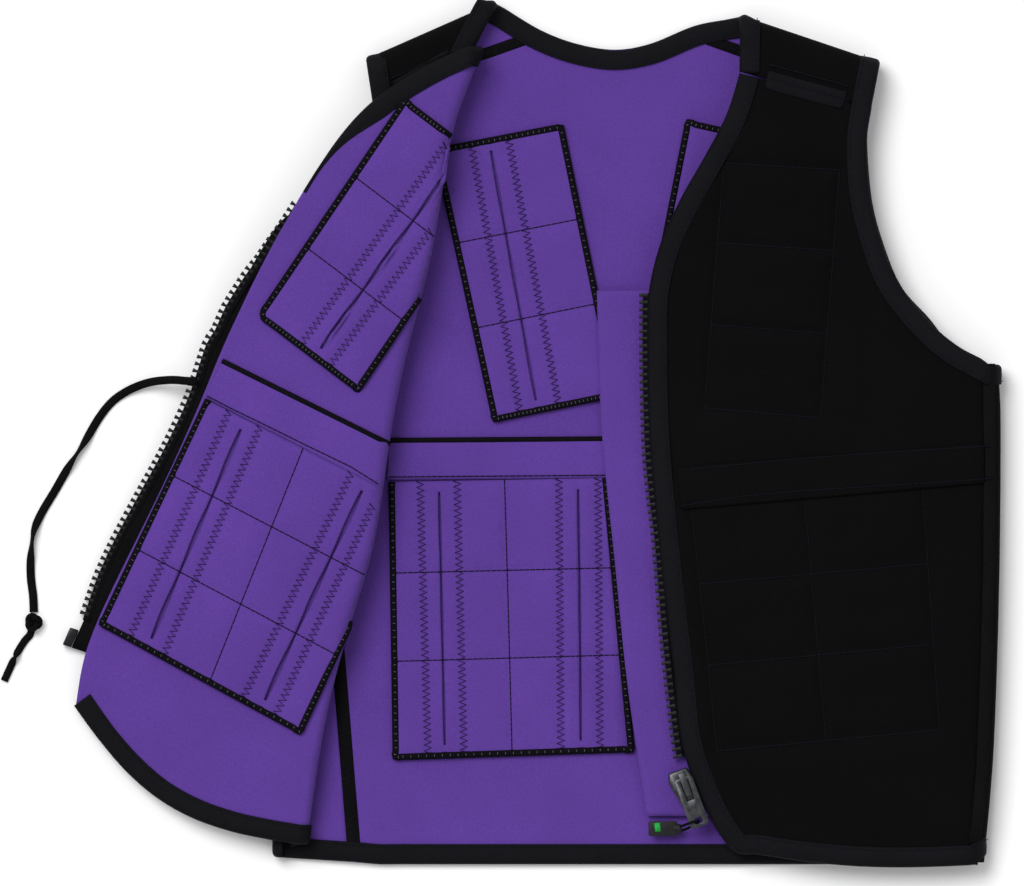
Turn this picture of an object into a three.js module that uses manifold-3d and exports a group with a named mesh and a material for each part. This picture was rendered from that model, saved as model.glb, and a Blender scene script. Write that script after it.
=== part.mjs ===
// Weighted vest of lined neoprene, lying on its back. One front is closed over the back,
// the other is turned over on itself so that its inner face shows.
// Millimetres, +Z up, +Y towards the neck. Widths are taken from the middle of the back
// and heights from the hem, as shares of the chest width and of the vest length.
import * as THREE from "three";
import Module from "manifold-3d";
import { mergeVertices } from "three/addons/utils/BufferGeometryUtils.js";

const wasm = await Module();
wasm.setup();

// The vest, from side fold to side fold and from hem to shoulder
const chestWidth = 445;
const vestLength = 516;

// Cloth, trims and the gaps between them
const clothThickness = 3;
const pocketThickness = 2;
const bandThickness = 1.5;
const tapeThickness = 1;
const shoulderTapeWidth = 11;
const bindingWall = 1;
const bindingWidth = 12;
const bindingGap = 0.5;
const layerGap = 0.5;
const seamGap = 0.3;

// How high the layers lie over the floor
const frontRise = 22;
const frontEdgeDrop = 4.4;
const frontEdgeSlope = 60;
const frontHemDrop = 2;
const flapLevel = 6.9;
const freeEdgeRise = 16;
const sideClearance = 6.6;
const neckBow = 13;
const hemBow = 5;
const openHemBow = 21;

// Zip, slider and pull
const teethWidth = 3.6;
const teethHeight = 3;
const tapeReach = 8;
const tapeSeat = 7;
const zipBoxWidth = 5.4;
const zipBoxHeight = 5;
const sliderLength = 27;
const sliderWidth = 15;
const sliderNeck = 7;
const sliderHeight = 8.3;
const sliderBevel = 0.8;
const channelWidth = 4;
const channelHeight = 3.6;
const bridgeWidth = 3.6;
const bridgeWall = 2;
const bridgeLength = 14;
const pullLength = 31;
const pullWidth = 11.5;
const pullThickness = 2.2;
const pullBar = 2.2;
const barClearance = 0.8;
const windowLength = 12;
const slotLength = 3.8;
const footWall = 1.8;
const plateCorner = 1.8;
const tagLength = 17.5;
const tagWidth = 9;
const tagThickness = 2.4;
const tagCorner = 1.2;
const tagAngle = 90;
const tagSag = 0.4;
const loopDiameter = 1.8;
const loopSteps = 28;

// Pockets
const slitWidth = 2;
const hemStrip = 0.07;

// Drawcord
const cordDiameter = 4.4;
const cordSteps = 24;
const tailSteps = 6;
const knotDiameter = 12;
const knotHeight = 10;

const table = (names, rows) => {
  const keys = names.split(" ");
  return rows.map((row) => Object.fromEntries(keys.map((key, place) => [key, row[place]])));
};

// Closed front, from the shoulder seam to the hem
const closedRows = table("leftX leftY rightX rightY edgeDrop", [
  [0.150, 0.919, 0.321, 0.879, 0],
  [0.132, 0.870, 0.315, 0.842, 0.1],
  [0.101, 0.819, 0.318, 0.784, 0.3],
  [0.070, 0.772, 0.332, 0.731, 0.6],
  [0.043, 0.720, 0.356, 0.677, 0.9],
  [0.028, 0.667, 0.402, 0.627, 1],
  [0.026, 0.621, 0.439, 0.600, 1],
  [0.026, 0.582, 0.471, 0.585, 1],
  [0.026, 0.565, 0.481, 0.580, 1],
  [0.030, 0.481, 0.482, 0.493, 1],
  [0.044, 0.353, 0.481, 0.353, 1],
  [0.061, 0.226, 0.477, 0.226, 1],
  [0.073, 0.138, 0.472, 0.115, 1],
  [0.104, 0.065, 0.466, 0.051, 1],
  [0.139, 0.019, 0.462, 0.002, 1],
]);
const closedSideRow = 8;

// Open front, from the neck edge to its hem: side edge, turn and free edge
const openRows = table("sideX sideY turnX turnY freeX freeY", [
  [-0.345, 0.884, -0.200, 0.948, -0.443, 0.778],
  [-0.352, 0.830, -0.243, 0.848, -0.473, 0.736],
  [-0.364, 0.766, -0.255, 0.769, -0.501, 0.691],
  [-0.391, 0.691, -0.271, 0.691, -0.528, 0.642],
  [-0.441, 0.615, -0.298, 0.609, -0.553, 0.595],
  [-0.485, 0.568, -0.321, 0.516, -0.575, 0.545],
  [-0.488, 0.458, -0.333, 0.435, -0.616, 0.465],
  [-0.480, 0.353, -0.348, 0.353, -0.660, 0.387],
  [-0.469, 0.249, -0.388, 0.255, -0.704, 0.312],
  [-0.464, 0.144, -0.415, 0.156, -0.737, 0.247],
  [-0.468, 0.020, -0.436, 0.026, -0.748, 0.186],
]);
const openSideRow = 5;

// Radii of the side fold and of the turn, as shares of foldRadius
const foldRadius = 6.6;
const foldRows = table("height side turn", [
  [0, 0.53, 0.53],
  [0.1, 0.62, 0.68],
  [0.3, 0.85, 0.92],
  [0.56, 0.95, 1],
  [1, 1, 1],
]);

// Hem of the open front, from its free corner to the turn
const openHem = table("x height", [
  [-0.748, 0.186],
  [-0.744, 0.174],
  [-0.709, 0.143],
  [-0.650, 0.105],
  [-0.588, 0.069],
  [-0.522, 0.036],
  [-0.458, 0.020],
]);

// Level of the free edge, as shares of freeEdgeRise
const freeRows = table("height level", [
  [0, 1],
  [0.03, 0.9],
  [0.08, 0.5],
  [0.15, 0.3],
  [0.35, 0.3],
  [0.56, 0.7],
  [0.65, 1],
  [0.72, 1.35],
  [0.8, 1.5],
  [0.95, 1.55],
]);

// Back panel, from the hem to the shoulder seams
const backRows = table("height left right", [
  [0.003, -0.377, 0.377],
  [0.155, -0.387, 0.387],
  [0.353, -0.402, 0.402],
  [0.516, -0.418, 0.418],
  [0.563, -0.426, 0.426],
  [0.598, -0.429, 0.429],
  [0.633, -0.420, 0.402],
  [0.670, -0.388, 0.364],
  [0.714, -0.367, 0.341],
  [0.773, -0.349, 0.322],
  [0.844, -0.342, 0.315],
  [0.898, -0.345, 0.322],
]);
const armholeFoot = 0.598;
const sideTop = 0.578;

// Top edge of the back panel: shoulder seam, neck curve, shoulder seam
const backTop = table("along x height", [
  [0, -0.345, 0.898],
  [0.333, -0.123, 0.967],
  [0.406, -0.074, 0.951],
  [0.485, -0.022, 0.944],
  [0.560, 0.027, 0.951],
  [0.646, 0.086, 0.970],
  [1, 0.322, 0.894],
]);

// Shoulders: front seam, fold and back seam at the neck and at the armhole
const shoulderRight = {
  neck: { frontX: 0.150, frontY: 0.920, foldX: 0.151, foldY: 0.987, backX: 0.086, backY: 0.971 },
  arm: { frontX: 0.321, frontY: 0.880, foldX: 0.333, foldY: 0.934, backX: 0.322, backY: 0.895 },
};
const shoulderLeft = {
  neck: { frontX: -0.212, frontY: 0.953, foldX: -0.183, foldY: 1.002, backX: -0.123, backY: 0.968 },
  arm: { frontX: -0.345, frontY: 0.886, foldX: -0.354, foldY: 0.938, backX: -0.345, backY: 0.899 },
};

// Pockets and bands: corners in turn round the outline, then the place of the slits
const patches = {
  backUpperLeft: { corners: [[-0.263, 0.830], [-0.096, 0.858], [-0.013, 0.548], [-0.187, 0.516]], slits: [0.5] },
  backUpperRight: { corners: [[0.074, 0.867], [0.243, 0.838], [0.193, 0.522], [0.020, 0.551]], slits: [0.5] },
  backLowerLeft: { corners: [[-0.323, 0.444], [-0.036, 0.449], [0.000, 0.130], [-0.318, 0.123]], slits: [0.22, 0.78] },
  backLowerRight: { corners: [[0.031, 0.449], [0.323, 0.444], [0.318, 0.123], [0.011, 0.130]], slits: [0.22, 0.78] },
  closedUpper: { corners: [[0.127, 0.800], [0.283, 0.790], [0.255, 0.530], [0.098, 0.540]], slits: [0.5] },
  closedLower: { corners: [[0.091, 0.405], [0.391, 0.430], [0.415, 0.155], [0.137, 0.135]], slits: [0.25, 0.75] },
  openUpper: { corners: [[-0.306, 0.878], [-0.272, 0.850], [-0.369, 0.575], [-0.501, 0.640]], slits: [0.6] },
  openLower: { corners: [[-0.573, 0.522], [-0.358, 0.422], [-0.455, 0.160], [-0.716, 0.279]], slits: [0.25, 0.78] },
  backCasing: { corners: [[-0.326, 0.493], [0.326, 0.497], [0.329, 0.456], [-0.330, 0.454]], slits: [] },
  openCasing: { corners: [[-0.553, 0.585], [-0.350, 0.494], [-0.358, 0.446], [-0.573, 0.545]], slits: [] },
  closedBand: { corners: [[0.069, 0.462], [0.465, 0.490], [0.467, 0.444], [0.078, 0.414]], slits: [] },
};

// Zip flap under the closed front: its free edge
const flapRows = table("height x", [
  [0.056, 0.022],
  [0.148, 0.005],
  [0.223, -0.008],
  [0.319, -0.016],
  [0.414, -0.030],
  [0.490, -0.040],
  [0.670, -0.046],
]);

// Route of the drawcord from the casing to its knot, and its tail after the knot
const cordRoute = [
  [-0.585, 0.561], [-0.600, 0.562], [-0.622, 0.563], [-0.650, 0.560], [-0.677, 0.551], [-0.699, 0.538],
  [-0.717, 0.519], [-0.735, 0.493], [-0.756, 0.465], [-0.776, 0.435], [-0.794, 0.409], [-0.805, 0.387],
  [-0.809, 0.359], [-0.809, 0.334], [-0.806, 0.312], [-0.805, 0.293],
];
const cordLift = [1, 1, 0.84, 0.36, 0.08];
const tailRoute = [[-0.806, 0.279], [-0.810, 0.267], [-0.817, 0.260], [-0.829, 0.243], [-0.845, 0.213]];

const finishes = {
  innerCloth: { color: 0x5f3c9c, roughness: 0.85, metalness: 0 },
  outerCloth: { color: 0x111113, roughness: 0.8, metalness: 0 },
  binding: { color: 0x17171b, roughness: 0.75, metalness: 0 },
  zipTape: { color: 0x0d0d0f, roughness: 0.85, metalness: 0 },
  zipTeeth: { color: 0x0b0b0d, roughness: 0.35, metalness: 0 },
  metal: { color: 0x25262a, roughness: 0.3, metalness: 0.9 },
  cord: { color: 0x0c0c0e, roughness: 0.8, metalness: 0 },
  tag: { color: 0x141416, roughness: 0.55, metalness: 0 },
};

const vest = new THREE.Group();
const across = (share) => share * chestWidth;
const up = (share) => share * vestLength;
const mix = THREE.MathUtils.lerp;
const bound = THREE.MathUtils.clamp;
const smooth = (value) => THREE.MathUtils.smoothstep(value, 0, 1);
const bindingHalf = clothThickness / 2 + bindingGap + bindingWall;
const edgeBand = bindingWidth + 2;
const edgeRamp = 8;
const rowSpace = 5;

// Straight interpolation in a table whose key column rises or falls
function lookUp(rows, key, value, wanted) {
  const rising = rows[0][key] < rows[rows.length - 1][key];
  const ordered = rising ? rows : [...rows].reverse();
  let next = ordered.findIndex((row) => row[key] >= value);
  if (next < 0) next = ordered.length - 1;
  next = Math.max(next, 1);
  const [low, high] = [ordered[next - 1], ordered[next]];
  const share = bound((value - low[key]) / (high[key] - low[key]), 0, 1);
  return mix(low[wanted], high[wanted], share);
}

// A solid from corners and triangles, turned so that its faces point out
function makeSolid(corners, triangles) {
  const product = new THREE.Vector3();
  const volume = triangles.reduce((sum, [i, j, k]) => {
    product.copy(corners[j]).cross(corners[k]);
    return sum + corners[i].dot(product);
  }, 0);
  const faces = volume > 0 ? triangles : triangles.map(([i, j, k]) => [i, k, j]);
  const vertProperties = new Float32Array(corners.flatMap((p) => [p.x, p.y, p.z]));
  return new wasm.Manifold(new wasm.Mesh({ numProp: 3, vertProperties, triVerts: new Uint32Array(faces.flat()) }));
}

function addSolid(name, finish, solid) {
  const mesh = solid.getMesh();
  const geometry = new THREE.BufferGeometry();
  geometry.setAttribute("position", new THREE.Float32BufferAttribute(Array.from(mesh.vertProperties), 3));
  geometry.setIndex(Array.from(mesh.triVerts));
  geometry.computeVertexNormals();
  const piece = new THREE.Mesh(geometry, new THREE.MeshStandardMaterial(finishes[finish]));
  piece.name = name;
  vest.add(piece);
  return solid;
}

// A solid from a three.js geometry, moved by a matrix
function fromGeometry(geometry, matrix = new THREE.Matrix4()) {
  const bare = geometry.clone().applyMatrix4(matrix);
  bare.deleteAttribute("normal");
  bare.deleteAttribute("uv");
  const merged = mergeVertices(bare, 1e-3);
  const vertProperties = new Float32Array(merged.attributes.position.array);
  const triVerts = new Uint32Array(merged.index.array);
  return new wasm.Manifold(new wasm.Mesh({ numProp: 3, vertProperties, triVerts }));
}

const largest = (solid) => solid.decompose().reduce((best, one) => (one.volume() > best.volume() ? one : best));

// Rows of points on the middle surface of a sheet, with the normal at each point
function makeGrid(points) {
  const normals = points.map((row, i) => row.map((point, j) => {
    const before = points[Math.max(i - 1, 0)][j];
    const after = points[Math.min(i + 1, points.length - 1)][j];
    const along = row[Math.min(j + 1, row.length - 1)].clone().sub(row[Math.max(j - 1, 0)]);
    return along.cross(after.clone().sub(before)).normalize();
  }));
  return { points, normals };
}

// A sheet of even thickness, with the cells that isCut names left out
function sheetSolid(grid, thickness, isCut = () => false) {
  const corners = [];
  const triangles = [];
  const numbers = new Map();
  const rows = grid.points.length - 1;
  const columns = grid.points[0].length - 1;
  const kept = (i, j) => i >= 0 && j >= 0 && i < rows && j < columns && !isCut(i, j);
  const corner = (i, j, side) => {
    const key = `${i} ${j} ${side}`;
    if (!numbers.has(key)) {
      numbers.set(key, corners.length);
      corners.push(grid.points[i][j].clone().addScaledVector(grid.normals[i][j], (side * thickness) / 2));
    }
    return numbers.get(key);
  };
  const addWall = (i, j, m, n) => {
    triangles.push([corner(i, j, 1), corner(i, j, -1), corner(m, n, 1)]);
    triangles.push([corner(m, n, 1), corner(i, j, -1), corner(m, n, -1)]);
  };
  for (let i = 0; i < rows; i += 1) {
    for (let j = 0; j < columns; j += 1) {
      if (!kept(i, j)) continue;
      triangles.push([corner(i, j, 1), corner(i, j + 1, 1), corner(i + 1, j + 1, 1)]);
      triangles.push([corner(i, j, 1), corner(i + 1, j + 1, 1), corner(i + 1, j, 1)]);
      triangles.push([corner(i, j, -1), corner(i + 1, j + 1, -1), corner(i, j + 1, -1)]);
      triangles.push([corner(i, j, -1), corner(i + 1, j, -1), corner(i + 1, j + 1, -1)]);
      if (!kept(i - 1, j)) addWall(i, j, i, j + 1);
      if (!kept(i, j + 1)) addWall(i, j + 1, i + 1, j + 1);
      if (!kept(i + 1, j)) addWall(i + 1, j + 1, i + 1, j);
      if (!kept(i, j - 1)) addWall(i + 1, j, i, j);
    }
  }
  return makeSolid(corners, triangles);
}

function addSheet(name, finish, grid, thickness, isCut) {
  return addSolid(name, finish, sheetSolid(grid, thickness, isCut));
}

// The points along one edge of a grid, each with its normal and a hint of the way inwards
function edgeOf(grid, side, from = 0, to = Infinity) {
  const { points, normals } = grid;
  const last = { i: points.length - 1, j: points[0].length - 1 };
  const place = {
    left: (k) => [k, 0, k, 1],
    right: (k) => [k, last.j, k, last.j - 1],
    first: (k) => [0, k, 1, k],
    last: (k) => [last.i, k, last.i - 1, k],
  }[side];
  const end = Math.min(to, side === "left" || side === "right" ? last.i : last.j);
  const stations = [];
  for (let k = from; k <= end; k += 1) {
    const [i, j, m, n] = place(k);
    const inward = points[m][n].clone().sub(points[i][j]);
    stations.push({ point: points[i][j].clone(), normal: normals[i][j].clone(), inward });
  }
  return stations;
}

// A binding folded over an edge, cut clear of the cloths between its two legs
function addBinding(name, cloths, path, closed = false) {
  const inner = clothThickness / 2 + bindingGap;
  const outer = bindingHalf;
  const back = bindingGap + bindingWall;
  const leg = bindingWidth - back;
  const bevel = bindingWall;
  const profile = [
    [leg, inner], [leg, outer], [bevel - back, outer], [-back, outer - bevel],
    [-back, bevel - outer], [bevel - back, -outer], [leg, -outer], [leg, -inner],
    [-bindingGap, -inner], [-bindingGap, inner],
  ];
  const count = path.length;
  const corners = [];
  const triangles = [];
  let lastNormal = path[0].normal;
  path.forEach((station, k) => {
    const before = closed ? path[(k + count - 1) % count] : path[Math.max(k - 1, 0)];
    const after = closed ? path[(k + 1) % count] : path[Math.min(k + 1, count - 1)];
    const tangent = after.point.clone().sub(before.point).normalize();
    const normal = station.normal.clone();
    if (normal.dot(lastNormal) < 0) normal.negate();
    normal.addScaledVector(tangent, -normal.dot(tangent)).normalize();
    lastNormal = normal;
    const inward = normal.clone().cross(tangent).normalize();
    if (inward.dot(station.inward) < 0) inward.negate();
    profile.forEach(([reach, rise]) => {
      corners.push(station.point.clone().addScaledVector(inward, reach).addScaledVector(normal, rise));
    });
  });
  const size = profile.length;
  const spans = closed ? count : count - 1;
  for (let k = 0; k < spans; k += 1) {
    const here = k * size;
    const there = ((k + 1) % count) * size;
    for (let m = 0; m < size; m += 1) {
      const n = (m + 1) % size;
      triangles.push([here + m, here + n, there + n], [here + m, there + n, there + m]);
    }
  }
  if (!closed) {
    const faces = THREE.ShapeUtils.triangulateShape(profile.map(([x, y]) => new THREE.Vector2(x, y)), []);
    const end = (count - 1) * size;
    faces.forEach(([a, b, c]) => {
      triangles.push([a, c, b], [end + a, end + b, end + c]);
    });
  }
  const cleared = cloths.reduce((solid, cloth) => (
    solid.subtract(sheetSolid(cloth, clothThickness + 2 * seamGap))), makeSolid(corners, triangles));
  return addSolid(name, "binding", largest(cleared));
}

// Stations across a strip: both edge bands are kept free for a binding
function spread(length, bands, inner) {
  const stations = [0];
  const from = bands[0] ? edgeBand : 0;
  const to = bands[1] ? length - edgeBand : length;
  for (let k = from ? 0 : 1; k <= inner; k += 1) stations.push(mix(from, to, k / inner));
  if (bands[1]) stations.push(length);
  return stations.map((station) => station / length);
}

// Levels of the middle of the cloth
const flatLevel = clothThickness / 2;
const edgeLevel = bindingHalf + seamGap;
const raised = (distance) => mix(edgeLevel, flatLevel, bound((distance - edgeBand) / edgeRamp, 0, 1));
const frontLevel = (y) => frontRise - frontHemDrop * (1 - smooth(y / (0.2 * vestLength)));
const sideRadius = (y) => foldRadius * lookUp(foldRows, "height", y / vestLength, "side");
const turnRadius = (y) => foldRadius * lookUp(foldRows, "height", y / vestLength, "turn");
const underLevel = (y) => edgeLevel + 2 * sideRadius(y);
const lapelLevel = (y) => underLevel(y) + 2 * turnRadius(y);

// Closed front
const closedLeft = (row) => new THREE.Vector2(across(row.leftX), up(row.leftY));
const closedRight = (row) => new THREE.Vector2(across(row.rightX), up(row.rightY));
const seamAngle = THREE.MathUtils.degToRad(67);

const closedEdgeX = (y) => across(lookUp(closedRows, "leftY", y / vestLength, "leftX"));
function closedHeight(x, y) {
  const distance = Math.max(x - closedEdgeX(y), 0);
  const share = lookUp(closedRows, "leftY", y / vestLength, "edgeDrop");
  return frontLevel(y) - frontEdgeDrop * share * (1 - smooth(distance / frontEdgeSlope));
}

const sideRows = closedRows.slice(closedSideRow);
const rightSeamX = (y) => across(lookUp(sideRows, "rightY", y / vestLength, "rightX"));

function closedPoint(row, share, bow) {
  const place = closedLeft(row).lerp(closedRight(row), share);
  place.y -= bow * Math.sin(Math.PI * share);
  return new THREE.Vector3(place.x, place.y, closedHeight(place.x, place.y));
}

const closedGrid = makeGrid(closedRows.map((row, i) => {
  const width = closedLeft(row).distanceTo(closedRight(row));
  const bow = i === closedRows.length - 1 ? hemBow : 0;
  const shares = spread(width, [true, true], 8);
  shares.splice(shares.length - 1, 0, 1 - (rightArc(up(row.rightY)) * Math.cos(seamAngle)) / width);
  const line = shares.map((share) => closedPoint(row, share, bow));
  if (i >= closedSideRow) line[line.length - 1].z -= rightArc(up(row.rightY)) * (1 - Math.sin(seamAngle));
  return line;
}));
closedGrid.normals.slice(closedSideRow).forEach((line) => {
  line[line.length - 1].set(Math.cos(seamAngle), 0, Math.sin(seamAngle));
});
addSheet("closed_front", "outerCloth", closedGrid, clothThickness);

// Right side panel, folded round from the back seam to the front seam
function rightArc(y) {
  return (frontLevel(y) - sideLevel(y)) / 2;
}
function sideLevel(y) {
  return Math.max(raised(y), raised(up(sideTop) - y));
}
function backHalfWidth(y) {
  return across(lookUp(backRows, "height", y / vestLength, "right"));
}

// Heights of the rows of a side panel: every row of its neighbours and both edge bands
function sideHeights(rows, key, from) {
  const to = up(sideTop);
  const bands = [from, from + edgeBand, from + edgeBand + edgeRamp, to - edgeBand - edgeRamp, to - edgeBand, to];
  const shared = [...rows.map((row) => up(row[key])), ...backRows.map((row) => up(row.height))];
  const clear = shared.filter((y) => bands.every((band) => Math.abs(band - y) > rowSpace) && y > from && y < to);
  return [...new Set([...bands, ...clear])].sort((a, b) => a - b);
}

const foldSteps = 8;
function foldRow(y, seamX, centreX, low, high, endAngle, way) {
  const radius = (high - low) / 2;
  const points = [new THREE.Vector3(way * seamX, y, low)];
  const normals = [new THREE.Vector3(0, 0, -1)];
  for (let k = 0; k <= foldSteps; k += 1) {
    const angle = mix(-Math.PI / 2, endAngle, k / foldSteps);
    const normal = new THREE.Vector3(way * Math.cos(angle), 0, Math.sin(angle));
    points.push(new THREE.Vector3(way * centreX, y, low + radius).addScaledVector(normal, radius));
    normals.push(normal);
  }
  return { points, normals };
}
function foldGrid(rows) {
  return { points: rows.map((row) => row.points), normals: rows.map((row) => row.normals) };
}

const rightSideGrid = foldGrid(sideHeights(sideRows, "rightY", up(sideRows[sideRows.length - 1].rightY)).map((y) => {
  const radius = rightArc(y);
  const centre = rightSeamX(y) - radius * Math.cos(seamAngle);
  const endAngle = seamAngle - seamGap / (radius - clothThickness / 2);
  return foldRow(y, backHalfWidth(y) + seamGap, centre, sideLevel(y), frontLevel(y), endAngle, 1);
}));
addSheet("side_panel_right", "outerCloth", rightSideGrid, clothThickness);

// Back panel
const backStations = [0, 0.05, 0.085, 0.2, 0.333, 0.406, 0.485, 0.56, 0.646, 0.8, 0.915, 0.95, 1];
const backFoot = up(backRows[0].height);
const backReach = up(backRows[backRows.length - 1].height) - backFoot;
const backShares = [
  0, edgeBand / backReach, (edgeBand + edgeRamp) / backReach,
  ...backRows.slice(1, -1).map((row) => (up(row.height) - backFoot) / backReach),
  1 - edgeBand / backReach, 1,
];
const armholeRow = backRows.findIndex((row) => row.height === armholeFoot) + 2;
const backGrid = makeGrid(backShares.map((share, i) => backStations.map((along, j) => {
  const topY = up(lookUp(backTop, "along", along, "height"));
  const y = mix(backFoot, topY, share);
  const key = mix(backRows[0].height, backRows[backRows.length - 1].height, share);
  const left = across(lookUp(backRows, "height", key, "left"));
  const right = across(lookUp(backRows, "height", key, "right"));
  const x = share === 1 ? across(lookUp(backTop, "along", along, "x")) : mix(left, right, along);
  const nearSide = j < 2 || j > backStations.length - 3;
  const held = i < 2 || i > backShares.length - 3 || (nearSide && i >= armholeRow);
  return new THREE.Vector3(x, y, held ? edgeLevel : flatLevel);
})));
addSheet("back_panel", "innerCloth", backGrid, clothThickness);

// Left side panel, folded round under the open front
const leftSideRows = openRows.slice(openSideRow);
const leftSeamX = (y) => across(lookUp(leftSideRows, "sideY", y / vestLength, "sideX"));
const leftFoot = up(leftSideRows[leftSideRows.length - 1].sideY);
const leftSideGrid = foldGrid(sideHeights(leftSideRows, "sideY", leftFoot).map((y) => (
  foldRow(y, backHalfWidth(y) + seamGap, seamGap - leftSeamX(y), sideLevel(y), underLevel(y), Math.PI / 2, -1)
)));
addSheet("side_panel_left", "outerCloth", leftSideGrid, clothThickness);

// Open front: the hidden layer, the turn, and the part that lies folded back
const turnEdgeX = (y) => across(lookUp(openRows, "turnY", y / vestLength, "turnX")) - clothThickness / 2;
const freeEdgeLevel = (y) => edgeLevel + freeEdgeRise * lookUp(freeRows, "height", y / vestLength, "level") - 1;
function freeEdgeX(y) {
  const height = y / vestLength;
  const corner = openRows[openRows.length - 1];
  if (height < corner.freeY) return across(lookUp(openHem, "height", height, "x"));
  if (height > openRows[0].freeY) {
    const neck = [{ x: openRows[0].freeX, y: openRows[0].freeY }, { x: openRows[0].turnX, y: openRows[0].turnY }];
    return across(lookUp(neck, "y", height, "x")) - neckBow / 2;
  }
  return across(lookUp(openRows, "freeY", height, "freeX"));
}
function sideExtremeX(y) {
  return across(lookUp(openRows, "sideY", y / vestLength, "sideX")) - sideRadius(y);
}

function lapelHeight(x, y) {
  const radius = turnRadius(y);
  const centre = turnEdgeX(y) - radius;
  const top = lapelLevel(y);
  if (x > centre) return top - radius + Math.sqrt(Math.max(radius ** 2 - (x - centre) ** 2, 0));
  const width = Math.max(centre - freeEdgeX(y), 1);
  const share = bound((centre - x) / width, 0, 1);
  const fall = Math.max(top - freeEdgeLevel(y), 0.1);
  const rest = bound((centre - sideExtremeX(y)) / width, 0.05, 0.95);
  const kept = bound((top - underLevel(y) - sideClearance) / fall, 0.05, 0.9);
  const power = bound(Math.log(kept) / Math.log(rest), 1.05, 3);
  return top - fall * share ** power;
}

const openStations = [0, 0.05, 0.1, 0.2, 0.3, 0.4, 0.5, 0.6, 0.7, 0.8, 0.9, 0.974, 1];
const openKeys = ["sideX", "sideY", "turnX", "turnY", "freeX", "freeY"];
function openRow(station) {
  const place = Math.min(station * (openRows.length - 1), openRows.length - 1.000001);
  const index = Math.floor(place);
  const row = {};
  openKeys.forEach((key) => {
    row[key] = mix(openRows[index][key], openRows[index + 1][key], place - index);
  });
  return row;
}

const turnSteps = 6;
const lapelShares = [0.12, 0.25, 0.4, 0.55, 0.7, 0.85, 1];
const openGrid = makeGrid(openStations.map((station) => {
  const row = openRow(station);
  const y = up(row.turnY);
  const radius = turnRadius(y);
  const centre = turnEdgeX(y) - radius;
  const side = new THREE.Vector2(across(row.sideX), up(row.sideY));
  const tangent = new THREE.Vector2(centre, y);
  const width = side.distanceTo(tangent);
  const line = [0, Math.min(edgeBand / width, 0.45), 0.7].map((share) => {
    const place = side.clone().lerp(tangent, share);
    return new THREE.Vector3(place.x, place.y, underLevel(place.y));
  });
  for (let k = 0; k <= turnSteps; k += 1) {
    const angle = mix(-Math.PI / 2, Math.PI / 2, k / turnSteps);
    const z = underLevel(y) + radius + radius * Math.sin(angle);
    line.push(new THREE.Vector3(centre + radius * Math.cos(angle), y, z));
  }
  const free = new THREE.Vector2(across(row.freeX), up(row.freeY));
  const bow = neckBow * Math.max(1 - station / 0.2, 0) - openHemBow * Math.max((station - 0.9) / 0.1, 0);
  const square = new THREE.Vector2(free.y - tangent.y, tangent.x - free.x).normalize();
  lapelShares.forEach((share) => {
    const place = tangent.clone().lerp(free, share).addScaledVector(square, bow * Math.sin(Math.PI * share));
    line.push(new THREE.Vector3(place.x, place.y, lapelHeight(place.x, place.y)));
  });
  return line;
}));
addSheet("open_front", "innerCloth", openGrid, clothThickness);

// Shoulders: flat from the front seam, round the fold, flat to the back seam
const shoulderSteps = 7;
function shoulderGrid(ends, level, stations) {
  const radius = (level - edgeLevel) / 2;
  const point = (end, kind) => new THREE.Vector2(across(end[`${kind}X`]), up(end[`${kind}Y`]));
  return foldGrid(stations.map((station) => {
    const [front, fold, back] = ["front", "fold", "back"].map((kind) => (
      point(ends.neck, kind).lerp(point(ends.arm, kind), station)));
    front.y += seamGap;
    back.y += seamGap;
    const ahead = front.clone().sub(fold).normalize();
    const behind = back.clone().sub(fold).normalize();
    const edge = fold.clone().addScaledVector(ahead, clothThickness / 2);
    const points = [new THREE.Vector3(front.x, front.y, level)];
    const normals = [new THREE.Vector3(0, 0, 1)];
    for (let k = 0; k <= shoulderSteps; k += 1) {
      const angle = (Math.PI * k) / shoulderSteps;
      const heading = ahead.clone().lerp(behind, smooth(k / shoulderSteps)).normalize();
      const spot = edge.clone().addScaledVector(heading, radius * (1 - Math.sin(angle)));
      points.push(new THREE.Vector3(spot.x, spot.y, edgeLevel + radius + radius * Math.cos(angle)));
      normals.push(new THREE.Vector3(-heading.x * Math.sin(angle), -heading.y * Math.sin(angle), Math.cos(angle)));
    }
    points.push(new THREE.Vector3(back.x, back.y, edgeLevel));
    normals.push(new THREE.Vector3(0, 0, -1));
    return { points, normals };
  }));
}
const shoulderStations = [0, 0.12, 0.5, 0.88, 1];
const rightShoulderGrid = shoulderGrid(shoulderRight, frontRise, shoulderStations);
addSheet("shoulder_right", "outerCloth", rightShoulderGrid, clothThickness);
const leftShoulderLevel = underLevel(up(shoulderLeft.arm.frontY));
const leftShoulderGrid = shoulderGrid(shoulderLeft, leftShoulderLevel, shoulderStations);
addSheet("shoulder_left", "outerCloth", leftShoulderGrid, clothThickness);

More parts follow.
